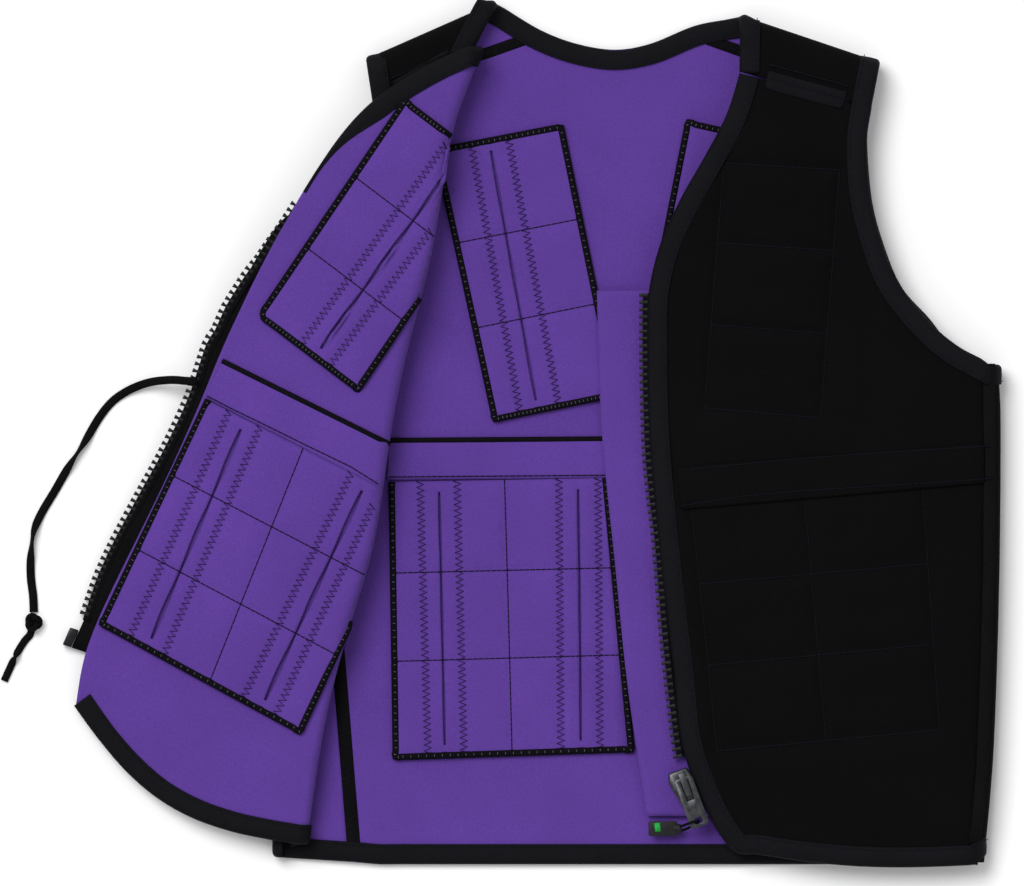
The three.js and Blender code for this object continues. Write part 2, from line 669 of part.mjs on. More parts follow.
// Bindings
const reversed = (stations) => [...stations].reverse();
addBinding("front_edge_binding", [closedGrid], edgeOf(closedGrid, "left"));
addBinding("neck_binding", [rightShoulderGrid, backGrid, leftShoulderGrid], [
  ...edgeOf(rightShoulderGrid, "first"),
  ...reversed(edgeOf(backGrid, "last", 5, 7)),
  ...reversed(edgeOf(leftShoulderGrid, "first")),
]);
addBinding("armhole_binding_right", [closedGrid, rightSideGrid, backGrid, rightShoulderGrid], [
  ...edgeOf(closedGrid, "right", 0, closedSideRow - 1),
  ...reversed(edgeOf(rightSideGrid, "last")),
  ...edgeOf(backGrid, "right", armholeRow),
  ...reversed(edgeOf(rightShoulderGrid, "last")),
], true);
const openArmRow = openStations.indexOf(0.5);
addBinding("armhole_binding_left", [openGrid, leftSideGrid, backGrid, leftShoulderGrid], [
  ...edgeOf(openGrid, "left", 0, openArmRow - 1),
  ...reversed(edgeOf(leftSideGrid, "last")),
  ...edgeOf(backGrid, "left", armholeRow),
  ...reversed(edgeOf(leftShoulderGrid, "last")),
], true);
const neckStart = 3 + turnSteps / 2;
addBinding("lapel_neck_binding", [openGrid], edgeOf(openGrid, "first", neckStart, openGrid.points[0].length - 2));
addBinding("hem_binding", [closedGrid, rightSideGrid, backGrid, leftSideGrid], [
  ...edgeOf(closedGrid, "last", 1),
  ...reversed(edgeOf(rightSideGrid, "first")),
  ...reversed(edgeOf(backGrid, "first")),
  ...edgeOf(leftSideGrid, "first"),
]);
addBinding("hem_binding_open", [openGrid, leftSideGrid], edgeOf(openGrid, "last", 3));

// A sheet laid over or under a cloth, given by four corners in plan, with its slits cut through
const leanStep = 1;
function patchSheet(name, finish, patch, height, offset, thickness, rows, columns) {
  const [a, b, c, d] = patch.corners.map(([x, y]) => new THREE.Vector2(across(x), up(y)));
  const half = slitWidth / 2 / a.distanceTo(b);
  const slitEdges = patch.slits.flatMap((place) => [place - half, place + half]);
  const regular = Array.from({ length: columns + 1 }, (_, k) => k / columns);
  const clear = regular.filter((share) => slitEdges.every((edge) => Math.abs(edge - share) > 3 * half));
  const stations = [...new Set([0, ...clear, ...slitEdges, 1])].sort((m, n) => m - n);
  const even = Array.from({ length: rows + 1 }, (_, k) => k / rows);
  const heights = patch.slits.length ? [0, hemStrip, ...even.slice(1, -1), 1 - hemStrip, 1] : even;
  const grid = makeGrid([...heights].reverse().map((down) => stations.map((share) => {
    const place = a.clone().lerp(b, share).lerp(d.clone().lerp(c, share), down);
    const level = height(place.x, place.y);
    const leanX = (height(place.x + leanStep, place.y) - height(place.x - leanStep, place.y)) / (2 * leanStep);
    const leanY = (height(place.x, place.y + leanStep) - height(place.x, place.y - leanStep)) / (2 * leanStep);
    const normal = new THREE.Vector3(-leanX, -leanY, 1).normalize();
    return new THREE.Vector3(place.x, place.y, level).addScaledVector(normal, offset);
  })));
  const inSlit = (j) => patch.slits.some((place) => Math.abs((stations[j] + stations[j + 1]) / 2 - place) < half);
  const isCut = (i, j) => i > 0 && i < heights.length - 2 && inSlit(j);
  const sheet = sheetSolid(grid, thickness, isCut);
  const onOpenFront = height === lapelHeight;
  const cleared = onOpenFront ? largest(sheet.subtract(sheetSolid(openGrid, clothThickness + 2 * seamGap))) : sheet;
  return addSolid(name, finish, cleared);
}

// Pockets for the weights, and the casings of the drawcord
const backSurface = () => flatLevel;
const pocketLift = (clothThickness + pocketThickness) / 2 + layerGap;
const bandLift = (clothThickness + bandThickness) / 2 + layerGap;
["backUpperLeft", "backUpperRight", "backLowerLeft", "backLowerRight"].forEach((key) => {
  const name = `pocket_${key.replace(/[A-Z]/g, (letter) => `_${letter.toLowerCase()}`)}`;
  patchSheet(name, "innerCloth", patches[key], backSurface, pocketLift, pocketThickness, 3, 2);
});
patchSheet("pocket_closed_upper", "innerCloth", patches.closedUpper, closedHeight, -pocketLift, pocketThickness, 4, 2);
patchSheet("pocket_closed_lower", "innerCloth", patches.closedLower, closedHeight, -pocketLift, pocketThickness, 4, 4);
patchSheet("pocket_open_upper", "innerCloth", patches.openUpper, lapelHeight, pocketLift, pocketThickness, 4, 4);
patchSheet("pocket_open_lower", "innerCloth", patches.openLower, lapelHeight, pocketLift, pocketThickness, 4, 5);
patchSheet("waist_casing_back", "innerCloth", patches.backCasing, backSurface, bandLift, bandThickness, 1, 1);
patchSheet("waist_casing_open", "innerCloth", patches.openCasing, lapelHeight, bandLift, bandThickness, 1, 6);
patchSheet("waist_band_closed", "outerCloth", patches.closedBand, closedHeight, bandLift, bandThickness, 1, 6);

// Tapes over the front seams of the shoulders
function shoulderTape(name, ends, level) {
  const neck = new THREE.Vector2(across(ends.neck.frontX), up(ends.neck.frontY));
  const arm = new THREE.Vector2(across(ends.arm.frontX), up(ends.arm.frontY));
  const length = neck.distanceTo(arm);
  const from = (bindingWidth + 3 * bindingWall) / length;
  const along = arm.clone().sub(neck).normalize();
  const square = new THREE.Vector2(-along.y, along.x);
  const lift = level + clothThickness / 2 + layerGap + tapeThickness / 2;
  const rows = [-shoulderTapeWidth / 2, shoulderTapeWidth / 2].map((reach) => [from, 1 - from].map((share) => {
    const place = neck.clone().lerp(arm, share).addScaledVector(square, reach);
    return new THREE.Vector3(place.x, place.y, lift);
  }));
  addSheet(name, "binding", makeGrid(rows), tapeThickness);
}
shoulderTape("shoulder_tape_right", shoulderRight, frontRise);
shoulderTape("shoulder_tape_left", shoulderLeft, leftShoulderLevel);

// Zip on the open front: tape under the edge, teeth along it, box at its foot
const tapeDrop = clothThickness / 2 + 2 * layerGap + tapeThickness / 2;
function openZipRow(station, reaches) {
  const row = openRow(station);
  const free = new THREE.Vector2(across(row.freeX), up(row.freeY));
  const outward = free.clone().sub(new THREE.Vector2(across(row.turnX), up(row.turnY))).normalize();
  return reaches.map((reach) => {
    const place = free.clone().addScaledVector(outward, reach);
    const held = reach > 0 ? free : place;
    return new THREE.Vector3(place.x, place.y, lapelHeight(held.x, held.y) - tapeDrop);
  });
}
const zipStations = openStations.filter((station) => station >= 0.05 && station < 0.9);
const teethFoot = 0.86;
const teethPlace = [tapeReach + seamGap, tapeReach + seamGap + teethWidth];
const boxPlace = [tapeReach + seamGap, tapeReach + seamGap + zipBoxWidth];
const openTape = makeGrid([...zipStations, 0.9].map((station) => openZipRow(station, [-tapeSeat, 0, tapeReach])));
addSheet("zip_tape_open", "zipTape", openTape, tapeThickness);
const openTeeth = makeGrid([...zipStations, teethFoot].map((station) => openZipRow(station, teethPlace)));
addSheet("zip_teeth_open", "zipTeeth", openTeeth, teethHeight);
const zipBox = makeGrid([teethFoot + 0.008, 0.9].map((station) => openZipRow(station, boxPlace)));
addSheet("zip_box", "zipTeeth", zipBox, zipBoxHeight);

// Zip on the closed front, under its bound edge, and the flap behind it
const closedTapeDrop = bindingHalf + layerGap + tapeThickness / 2;
const flapRise = closedTapeDrop + tapeThickness / 2 + layerGap + pocketThickness / 2;
const edgeHeight = (y) => closedHeight(closedEdgeX(y), y);
const zipRows = closedRows.slice(5, 13).map((row) => up(row.leftY));
function closedZipRow(y, reaches) {
  return reaches.map((reach) => {
    const x = closedEdgeX(y) + reach;
    return new THREE.Vector3(x, y, closedHeight(x, y) - closedTapeDrop);
  });
}
const bindingFace = bindingGap + bindingWall;
const sliderTop = 0.125;
const tapeRows = [...zipRows.filter((y) => y > up(sliderTop)), up(sliderTop)];
const closedTape = makeGrid(tapeRows.map((y) => closedZipRow(y, [tapeSeat, -bindingFace])));
addSheet("zip_tape_closed", "zipTape", closedTape, tapeThickness);
const closedTeethPlace = [-bindingFace - seamGap, -bindingFace - seamGap - teethWidth];
addSheet("zip_teeth_closed", "zipTeeth", makeGrid(tapeRows.map((y) => closedZipRow(y, closedTeethPlace))), teethHeight);
const flapX = (y) => across(lookUp(flapRows, "height", y / vestLength, "x"));
const flap = makeGrid([...tapeRows, up(0.1), up(flapRows[0].height)].map((y) => {
  const edge = closedEdgeX(y);
  return [
    new THREE.Vector3(flapX(y), y, flapLevel),
    new THREE.Vector3(edge + bindingFace, y, flapLevel),
    new THREE.Vector3(edge + tapeSeat + 2, y, edgeHeight(y) - flapRise),
    new THREE.Vector3(edge + 2 * tapeSeat + 4, y, edgeHeight(y) - flapRise),
  ];
}));
addSheet("zip_flap", "innerCloth", flap, pocketThickness);

// Slider at the foot of the teeth, in a frame whose second axis runs up the zip
const seatY = up(0.0905);
const below = 0.02 * vestLength;
const runX = closedEdgeX(seatY + below) - closedEdgeX(seatY - below);
const run = new THREE.Vector2(runX, 2 * below).normalize();
const sliderTurn = Math.atan2(-run.x, run.y);
const seatOffset = sliderWidth / 2 + bindingFace + layerGap;
const seat = new THREE.Vector2(closedEdgeX(seatY) - seatOffset * run.y, seatY + seatOffset * run.x);
const sliderFoot = flapLevel + pocketThickness / 2 + seamGap;
const sliderFrame = new THREE.Matrix4().makeRotationZ(sliderTurn).setPosition(seat.x, seat.y, 0);
const block = (width, length, height, x, y, z) => (
  fromGeometry(new THREE.BoxGeometry(width, length, height), new THREE.Matrix4().makeTranslation(x, y, z)));

const halfTop = sliderWidth / 2;
const halfFoot = sliderNeck / 2;
const sliderOutline = new THREE.Shape([
  [-halfTop, sliderLength * 0.3], [-halfTop * 0.75, sliderLength / 2], [halfTop * 0.75, sliderLength / 2],
  [halfTop, sliderLength * 0.3], [halfFoot, -sliderLength / 2], [-halfFoot, -sliderLength / 2],
].map(([x, y]) => new THREE.Vector2(x, y)));
const sliderBlock = new THREE.ExtrudeGeometry(sliderOutline, {
  depth: sliderHeight - 2 * sliderBevel,
  bevelEnabled: true,
  bevelThickness: sliderBevel,
  bevelSize: sliderBevel,
  bevelOffset: -sliderBevel,
  bevelSegments: 1,
});
sliderBlock.translate(0, 0, sliderFoot + sliderBevel);
const channelLevel = sliderFoot + sliderHeight / 2;
const channelX = (sliderWidth - 2 * bindingWall) / 4 + 0.2;
const channels = [-channelX, channelX].map((x) => (
  block(channelWidth, sliderLength + 2, channelHeight, x, 0, channelLevel)));
const pullLevel = edgeHeight(seatY) + bindingHalf + seamGap + pullThickness / 2;
const sliderFace = sliderFoot + sliderHeight;
const bridgeTop = pullLevel + pullThickness / 2 + barClearance + bridgeWall;
const bridgeX = sliderWidth * 0.1;
const bridgeY = sliderLength * 0.15;
const bridgeHeight = bridgeTop - sliderFace + 1;
const bridgeLevel = (bridgeTop + sliderFace - 1) / 2;
const archBlock = block(bridgeWidth, bridgeLength, bridgeHeight, bridgeX, bridgeY, bridgeLevel);
const archInside = bridgeLength - 2 * bridgeWall;
const arch = archBlock
  .subtract(block(bridgeWidth + 1, archInside, bridgeHeight, bridgeX, bridgeY, bridgeLevel - bridgeWall));
const place = (solid) => solid.transform(sliderFrame.elements.slice());
const slider = fromGeometry(sliderBlock).subtract(channels[0]).subtract(channels[1]).add(arch);
addSolid("zip_slider", "metal", place(slider));

// Pull: a plate with a window round the bridge and a slot at its foot
const barY = bridgeY + bridgeLength / 2 - bridgeWall - barClearance - pullBar / 2;
const pullTop = barY + pullBar / 2;
const pullFoot = pullTop - pullLength;
function roundedBox(width, top, foot, corner) {
  const centres = [[1, top - corner, 0], [-1, top - corner, 1], [-1, foot + corner, 2], [1, foot + corner, 3]];
  const points = centres.flatMap(([side, y, quarter]) => [0, 0.5, 1].map((share) => {
    const angle = ((quarter + share) * Math.PI) / 2;
    return new THREE.Vector2(side * (width / 2 - corner) + corner * Math.cos(angle), y + corner * Math.sin(angle));
  }));
  return new THREE.Shape(points);
}
const plate = roundedBox(pullWidth, pullTop, pullFoot, plateCorner);
const windowFoot = pullTop - pullBar - windowLength;
const windowWidth = bridgeWidth + 4 * seamGap;
const slotFoot = pullFoot + footWall;
plate.holes.push(roundedBox(windowWidth, pullTop - pullBar, windowFoot, 0.4));
plate.holes.push(roundedBox(windowWidth, slotFoot + slotLength, slotFoot, 1));
const plateGeometry = new THREE.ExtrudeGeometry(plate, { depth: pullThickness, bevelEnabled: false });
plateGeometry.translate(bridgeX, 0, pullLevel - pullThickness / 2);
addSolid("zip_pull", "metal", place(fromGeometry(plateGeometry)));

// Loop through the slot, and the tag on it
const slotY = slotFoot + slotLength / 2;
const loopRoute = [
  [-11.4, 0.4, -8.2], [-9.8, 0.4, -4.8], [-8.2, 0.4, -1], [-6.4, 0.4, 2.2], [-3.6, 0.4, 2.9], [-0.6, 0.2, 2.2],
  [0.2, 0, 0], [-0.4, -0.8, -2], [-3.4, -1.4, -2.9], [-6.2, -1.9, -3.8], [-8.6, -2.2, -5.6], [-11.8, -2, -9.4],
].map(([x, y, z]) => new THREE.Vector3(bridgeX + x, slotY + y, pullLevel + z));
const tubeSides = 8;
function tube(route, diameter, steps) {
  const ring = Array.from({ length: tubeSides }, (_, k) => {
    const angle = (2 * Math.PI * k) / tubeSides;
    return new THREE.Vector2(Math.cos(angle), Math.sin(angle)).multiplyScalar(diameter / 2);
  });
  const extrudePath = new THREE.CatmullRomCurve3(route, false, "catmullrom", 0.5);
  return new THREE.ExtrudeGeometry(new THREE.Shape(ring), { steps, extrudePath, bevelEnabled: false });
}
addSolid("pull_loop", "cord", place(fromGeometry(tube(loopRoute, loopDiameter, loopSteps))));
const tagShape = roundedBox(tagWidth, tagLength / 2, -tagLength / 2, tagCorner);
const tagGeometry = new THREE.ExtrudeGeometry(tagShape, { depth: tagThickness, bevelEnabled: false });
const tagEnd = loopRoute[0].clone().lerp(loopRoute[loopRoute.length - 1], 0.5).applyMatrix4(sliderFrame);
const tagTurn = THREE.MathUtils.degToRad(tagAngle);
const tagHeading = new THREE.Vector2(-Math.sin(tagTurn), Math.cos(tagTurn));
const tagMiddle = new THREE.Vector2(tagEnd.x, tagEnd.y).addScaledVector(tagHeading, tagLength / 2 + loopDiameter);
tagGeometry.translate(0, 0, -tagThickness / 2);
tagGeometry.rotateZ(tagTurn);
tagGeometry.translate(tagMiddle.x, tagMiddle.y, tagEnd.z - tagSag);
addSolid("pull_tag", "tag", fromGeometry(tagGeometry));

// Drawcord: out of the open casing, over the zip, down to the floor, to its knot
const exitLevel = lapelHeight(across(cordRoute[0][0]), up(cordRoute[0][1])) + tapeThickness;
const cordPoint = ([x, y], index) => {
  const lift = cordLift[index] ?? 0;
  return new THREE.Vector3(across(x), up(y), mix(cordDiameter / 2, exitLevel, lift));
};
addSolid("drawcord", "cord", fromGeometry(tube(cordRoute.map(cordPoint), cordDiameter, cordSteps)));
const tail = fromGeometry(tube(tailRoute.map((spot) => cordPoint(spot)), cordDiameter, tailSteps));
const knotPlace = new THREE.Vector3(
  across(mix(cordRoute[cordRoute.length - 1][0], tailRoute[0][0], 0.5)),
  up(cordRoute[cordRoute.length - 1][1]) - knotDiameter / 2 - seamGap,
  knotHeight / 2,
);
const knotBall = fromGeometry(
  new THREE.SphereGeometry(0.5, 10, 8),
  new THREE.Matrix4().makeTranslation(...knotPlace).scale(new THREE.Vector3(knotDiameter, knotDiameter, knotHeight)),
);
addSolid("drawcord_knot", "cord", knotBall.add(tail));

// Stands the vest on the floor, with the middle of its outline over the origin
const cordNames = ["drawcord", "drawcord_knot"];
const outline = new THREE.Box3();
vest.children.filter((piece) => !cordNames.includes(piece.name)).forEach((piece) => outline.expandByObject(piece));
const middle = outline.getCenter(new THREE.Vector3());
vest.position.set(-middle.x, -middle.y, -outline.min.z);

export default vest;
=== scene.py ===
import math

import bmesh
import bpy
from mathutils import Matrix, Vector, noise
from mathutils.bvhtree import BVHTree


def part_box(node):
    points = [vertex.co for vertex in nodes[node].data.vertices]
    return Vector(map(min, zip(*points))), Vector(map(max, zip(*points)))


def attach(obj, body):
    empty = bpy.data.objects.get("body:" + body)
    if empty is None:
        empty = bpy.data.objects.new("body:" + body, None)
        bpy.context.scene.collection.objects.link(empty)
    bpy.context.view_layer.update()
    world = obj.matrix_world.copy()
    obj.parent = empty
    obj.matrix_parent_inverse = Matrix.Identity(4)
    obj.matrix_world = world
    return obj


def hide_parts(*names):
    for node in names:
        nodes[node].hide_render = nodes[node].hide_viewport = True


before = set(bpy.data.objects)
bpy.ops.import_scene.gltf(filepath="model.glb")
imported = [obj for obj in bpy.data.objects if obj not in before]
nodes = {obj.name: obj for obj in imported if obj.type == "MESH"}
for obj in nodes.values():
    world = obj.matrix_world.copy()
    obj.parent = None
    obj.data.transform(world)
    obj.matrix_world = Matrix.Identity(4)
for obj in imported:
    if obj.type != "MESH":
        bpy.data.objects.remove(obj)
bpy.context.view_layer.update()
mm = 0.001
skyward = Vector((0, 0, 1))

# rays that look for the cloth from above start here, and vertices nearer than weld are one
rayStart = 0.2
weld = 0.02 * mm

# the photograph's pixels on the floor of the model: metres for each pixel, and where pixel (0, 0) lies
photo = {"width": 1024, "height": 886, "stepX": 0.59973 * mm, "stepY": 0.6 * mm,
         "left": -319.2 * mm, "top": 259.5 * mm}


def atPhoto(px, py, z=0.0):
    return Vector((photo["left"] + px * photo["stepX"], photo["top"] - py * photo["stepY"], z))


def photoLine(*points):
    return [atPhoto(*point) for point in points]


# camera, looking straight down as the photograph does
camera = {"height": 1.6, "view": photo["width"] * photo["stepY"]}
cameraData = bpy.data.cameras.new("camera")
cameraData.type = "ORTHO"
cameraData.ortho_scale = camera["view"]
cameraObject = bpy.data.objects.new("camera", cameraData)
cameraObject.location = atPhoto(photo["width"] / 2, photo["height"] / 2, camera["height"])
bpy.context.scene.collection.objects.link(cameraObject)
bpy.context.scene.camera = cameraObject
bpy.context.scene.view_settings.view_transform = "Standard"
print("camera set")


# finishes: how much of the grain shows beside the mottle, of the knitted loops in the relief, and the relief's depth
weave = {"grain": 0.6, "loops": 0.5, "depth": 0.2 * mm}
hardRelief = {"strength": 0.2, "depth": 0.1 * mm, "smoothest": 0.8, "roughest": 1.3}
rampEnds = (0.25, 0.75)


def newMaterial(name):
    material = bpy.data.materials.new(name)
    material.use_nodes = True
    tree = material.node_tree
    shader = tree.nodes["Principled BSDF"]
    return material, tree, shader


def setValues(node, values):
    for key, value in values.items():
        if key in node.inputs:
            node.inputs[key].default_value = value
        else:
            setattr(node, key, value)


def addNode(tree, kind, **values):
    node = tree.nodes.new(kind)
    setValues(node, values)
    return node


def addColour(tree, shader, factor, look):
    ramp = addNode(tree, "ShaderNodeValToRGB")
    for element, colour, position in zip(ramp.color_ramp.elements, (look["dark"], look["light"]), rampEnds):
        element.color = (*colour, 1)
        element.position = position
    tree.links.new(factor, ramp.inputs["Fac"])
    tree.links.new(ramp.outputs["Color"], shader.inputs["Base Color"])


def addMix(tree, share, first, second):
    blend = addNode(tree, "ShaderNodeMix", data_type="FLOAT")
    blend.inputs[0].default_value = share
    tree.links.new(first, blend.inputs[2])
    tree.links.new(second, blend.inputs[3])
    return blend.outputs[0]


def addBump(tree, shader, height, strength, depth):
    bump = addNode(tree, "ShaderNodeBump", Strength=strength, Distance=depth)
    tree.links.new(height, bump.inputs["Height"])
    tree.links.new(bump.outputs["Normal"], shader.inputs["Normal"])


def clothFinish(name, look):
    material, tree, shader = newMaterial(name)
    place = addNode(tree, "ShaderNodeTexCoord").outputs["Object"]
    mottle = addNode(tree, "ShaderNodeTexNoise", Scale=look["mottle"], Detail=3.0)
    grain = addNode(tree, "ShaderNodeTexNoise", Scale=look["grain"], Detail=2.0)
    loops = addNode(tree, "ShaderNodeTexWave", Scale=look["rib"], Distortion=look["waver"],
                    bands_direction=look["way"])
    for node in (mottle, grain, loops):
        tree.links.new(place, node.inputs["Vector"])
    addColour(tree, shader, addMix(tree, weave["grain"], mottle.outputs["Fac"], grain.outputs["Fac"]), look)
    relief = addMix(tree, weave["loops"], grain.outputs["Fac"], loops.outputs["Fac"])
    addBump(tree, shader, relief, look["bump"], weave["depth"])
    setValues(shader, {"Roughness": look["roughness"], "Sheen Weight": look["sheen"], "Sheen Roughness": 0.5,
                       "Specular IOR Level": look["shine"]})
    return material


def hardFinish(name, look):
    material, tree, shader = newMaterial(name)
    place = addNode(tree, "ShaderNodeTexCoord").outputs["Object"]
    wear = addNode(tree, "ShaderNodeTexNoise", Scale=look["wear"], Detail=4.0)
    tree.links.new(place, wear.inputs["Vector"])
    addColour(tree, shader, wear.outputs["Fac"], look)
    spread = addNode(tree, "ShaderNodeMapRange")
    setValues(spread, {"To Min": look["roughness"] * hardRelief["smoothest"],
                       "To Max": look["roughness"] * hardRelief["roughest"]})
    tree.links.new(wear.outputs["Fac"], spread.inputs["Value"])
    tree.links.new(spread.outputs["Result"], shader.inputs["Roughness"])
    addBump(tree, shader, wear.outputs["Fac"], hardRelief["strength"], hardRelief["depth"])
    setValues(shader, {"Metallic": look["metal"], "Specular IOR Level": 0.5 if look["metal"] else 0.15})
    return material


clothColumns = ("dark", "light", "mottle", "grain", "rib", "waver", "way", "bump", "roughness", "sheen", "shine")
clothLooks = {
    "purpleCloth": ((0.074, 0.030, 0.212), (0.108, 0.046, 0.302), 22.0, 900.0, 330.0, 2.0, "X", 0.5, 0.9, 0.06, 0.1),
    "blackCloth": ((0.0020, 0.0020, 0.0024), (0.0036, 0.0036, 0.0040), 16.0, 900.0, 330.0, 2.0, "X", 0.6, 0.8,
                   0.0, 0.03),
    "bindingCloth": ((0.0030, 0.0031, 0.0044), (0.0056, 0.0058, 0.0078), 40.0, 700.0, 260.0, 1.0, "DIAGONAL", 0.8,
                     0.7, 0.0, 0.06),
    "beadCloth": ((0.0018, 0.0016, 0.0026), (0.0040, 0.0036, 0.0056), 60.0, 800.0, 280.0, 1.0, "DIAGONAL", 0.8,
                  0.75, 0.0, 0.05),
    "tapeCloth": ((0.0016, 0.0016, 0.0020), (0.0046, 0.0046, 0.0054), 50.0, 800.0, 240.0, 0.4, "DIAGONAL", 1.0,
                  0.75, 0.0, 0.05),
    "braid": ((0.0012, 0.0012, 0.0016), (0.0042, 0.0042, 0.0046), 80.0, 700.0, 230.0, 0.6, "DIAGONAL", 1.0, 0.75,
              0.0, 0.05),
    "darkThread": ((0.0018, 0.0014, 0.0040), (0.0056, 0.0044, 0.0100), 90.0, 900.0, 500.0, 0.5, "DIAGONAL", 0.6,
                   0.6, 0.0, 0.08),
    "paleThread": ((0.05, 0.047, 0.07), (0.13, 0.12, 0.17), 90.0, 900.0, 500.0, 0.5, "DIAGONAL", 0.6, 0.6, 0.0, 0.2),
}
hardColumns = ("dark", "light", "wear", "roughness", "metal")
hardLooks = {
    "toothPlastic": ((0.006, 0.006, 0.008), (0.013, 0.013, 0.016), 300.0, 0.28, 0.0),
    "darkMetal": ((0.030, 0.031, 0.034), (0.075, 0.077, 0.083), 260.0, 0.26, 0.85),
    "tagRubber": ((0.008, 0.008, 0.009), (0.016, 0.016, 0.018), 400.0, 0.45, 0.0),
    "greenMark": ((0.010, 0.22, 0.035), (0.02, 0.36, 0.06), 400.0, 0.5, 0.0),
}
finishes = {name: clothFinish(name, dict(zip(clothColumns, look))) for name, look in clothLooks.items()}
finishes.update({name: hardFinish(name, dict(zip(hardColumns, look))) for name, look in hardLooks.items()})
print("finishes made")


# general making of pieces

def addPiece(name, mesh, materials, slot, replaced=(), body="vest"):
    piece = bpy.data.objects.new(name, mesh)
    bpy.context.scene.collection.objects.link(piece)
    for material in materials:
        mesh.materials.append(finishes[material])
    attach(piece, body)
    if replaced:
        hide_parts(*replaced)
    return piece


def workOn(*meshes):
    work = bmesh.new()
    for mesh in meshes:
        work.from_mesh(mesh)
    return work


def meshOf(work, name):
    mesh = bpy.data.meshes.new(name)
    work.to_mesh(mesh)
    work.free()
    return mesh


def setSmooth(mesh):
    mesh.polygons.foreach_set("use_smooth", [True] * len(mesh.polygons))
    return mesh


def meshFrom(name, corners, faces):
    mesh = bpy.data.meshes.new(name)
    mesh.from_pydata([tuple(corner) for corner in corners], [], faces)
    return setSmooth(mesh)


def selectOnly(piece):
    bpy.ops.object.select_all(action="DESELECT")
    piece.select_set(True)
    bpy.context.view_layer.objects.active = piece


def applyModifiers(piece):
    selectOnly(piece)
    for modifier in list(piece.modifiers):
        bpy.ops.object.modifier_apply(modifier=modifier.name)


def treeOf(piece):
    work = workOn(piece.data)
    tree = BVHTree.FromBMesh(work)
    work.free()
    return tree


def hitFromAbove(tree, x, y):
    return tree.ray_cast(Vector((x, y, rayStart)), -skyward)


beside = {"from": 30 * mm, "within": 4 * mm}


# the height of a surface, of its rim for a place just beside it, or else fallback
def topAt(tree, x, y, fallback=0.0):
    hit = hitFromAbove(tree, x, y)
    if hit[0]:
        return hit[0].z
    near = tree.find_nearest(Vector((x, y, beside["from"])))[0]
    return near.z if math.hypot(near.x - x, near.y - y) < beside["within"] else fallback


def lengthOf(line):
    return sum((b - a).length for a, b in zip(line, line[1:]))


# points evenly spaced on a smooth curve through the given ones
def smoothLine(points, step, closed=False):
    count = len(points)
    spans = count if closed else count - 1
    made = []
    for k in range(spans):
        p = [points[(k + n) % count] if closed else points[min(max(k + n, 0), count - 1)] for n in (-1, 0, 1, 2)]
        parts = max(1, round((p[2] - p[1]).length / step))
        for m in range(parts):
            t = m / parts
            made.append(0.5 * (2 * p[1] + t * (p[2] - p[0]) + t * t * (2 * p[0] - 5 * p[1] + 4 * p[2] - p[3])
                               + t ** 3 * (3 * p[1] - p[0] - 3 * p[2] + p[3])))
    if not closed:
        made.append(points[-1].copy())
    return made


def alongAt(line, k, closed=False):
    after = line[(k + 1) % len(line)] if closed else line[min(k + 1, len(line) - 1)]
    return (after - line[k - 1 if closed else max(k - 1, 0)]).normalized()


def leftAt(line, k):
    along = alongAt(line, k)
    return Vector((-along.y, along.x, 0))


def raised(place, level):
    return Vector((place.x, place.y, level))


# each point of a line with the ways across and up from it
def framesAlong(line, ups, closed, inwards):
    for k, point in enumerate(line):
        tangent = alongAt(line, k, closed)
        up = ups[k] if ups else skyward
        up = (up - tangent * up.dot(tangent)).normalized()
        across = up.cross(tangent).normalized()
        if inwards and across.dot(inwards[k]) < 0:
            across.negate()
        yield point, across, up


# a section swept along a line: each section point is (across, rise) from the line
def sweepMesh(name, line, section, ups=None, closed=False, inwards=None):
    count = len(line)
    corners = []
    for k, (point, across, up) in enumerate(framesAlong(line, ups, closed, inwards)):
        shape = section(k / (count - 1)) if callable(section) else section
        corners.extend(point + across * a + up * b for a, b in shape)
        size = len(shape)
    faces = []
    for k in range(count if closed else count - 1):
        here, there = k * size, ((k + 1) % count) * size
        faces.extend([here + m, here + (m + 1) % size, there + (m + 1) % size, there + m] for m in range(size))
    if not closed:
        faces.append(list(range(size)))
        faces.append(list(range((count - 1) * size, count * size)))
    mesh = meshFrom(name, corners, faces)
    work = workOn(mesh)
    bmesh.ops.recalc_face_normals(work, faces=work.faces)
    work.to_mesh(mesh)
    work.free()
    return mesh


def addSweep(name, line, section, material, slot="binding", replaced=(), body="vest", **ways):
    return addPiece(name, sweepMesh(name, line, section, **ways), [material], slot, replaced, body)


def oval(width, height, sides=10):
    return [(width / 2 * math.cos(2 * math.pi * k / sides), height / 2 * math.sin(2 * math.pi * k / sides))
            for k in range(sides)]


# threads: many short tubes in one mesh
def threadMesh(name, lines, radius):
    curve = bpy.data.curves.new(name, "CURVE")
    curve.dimensions = "3D"
    curve.bevel_depth = radius
    curve.bevel_resolution = 1
    curve.use_fill_caps = True
    for line in lines:
        spline = curve.splines.new("POLY")
        spline.points.add(len(line) - 1)
        for point, place in zip(spline.points, line):
            point.co = (*place, 1)
    holder = bpy.data.objects.new(name, curve)
    bpy.context.scene.collection.objects.link(holder)
    bpy.context.view_layer.update()
    mesh = bpy.data.meshes.new_from_object(holder.evaluated_get(bpy.context.evaluated_depsgraph_get()))
    bpy.data.objects.remove(holder)
    mesh.materials.clear()
    return setSmooth(mesh)


stitch = {"radius": 0.36 * mm, "fine": 0.28 * mm, "length": 3.0 * mm, "gap": 0.4 * mm, "lift": 0.12 * mm,
          "step": 1.2 * mm, "zigzagWidth": 4.4 * mm, "zigzagPitch": 3.6 * mm}


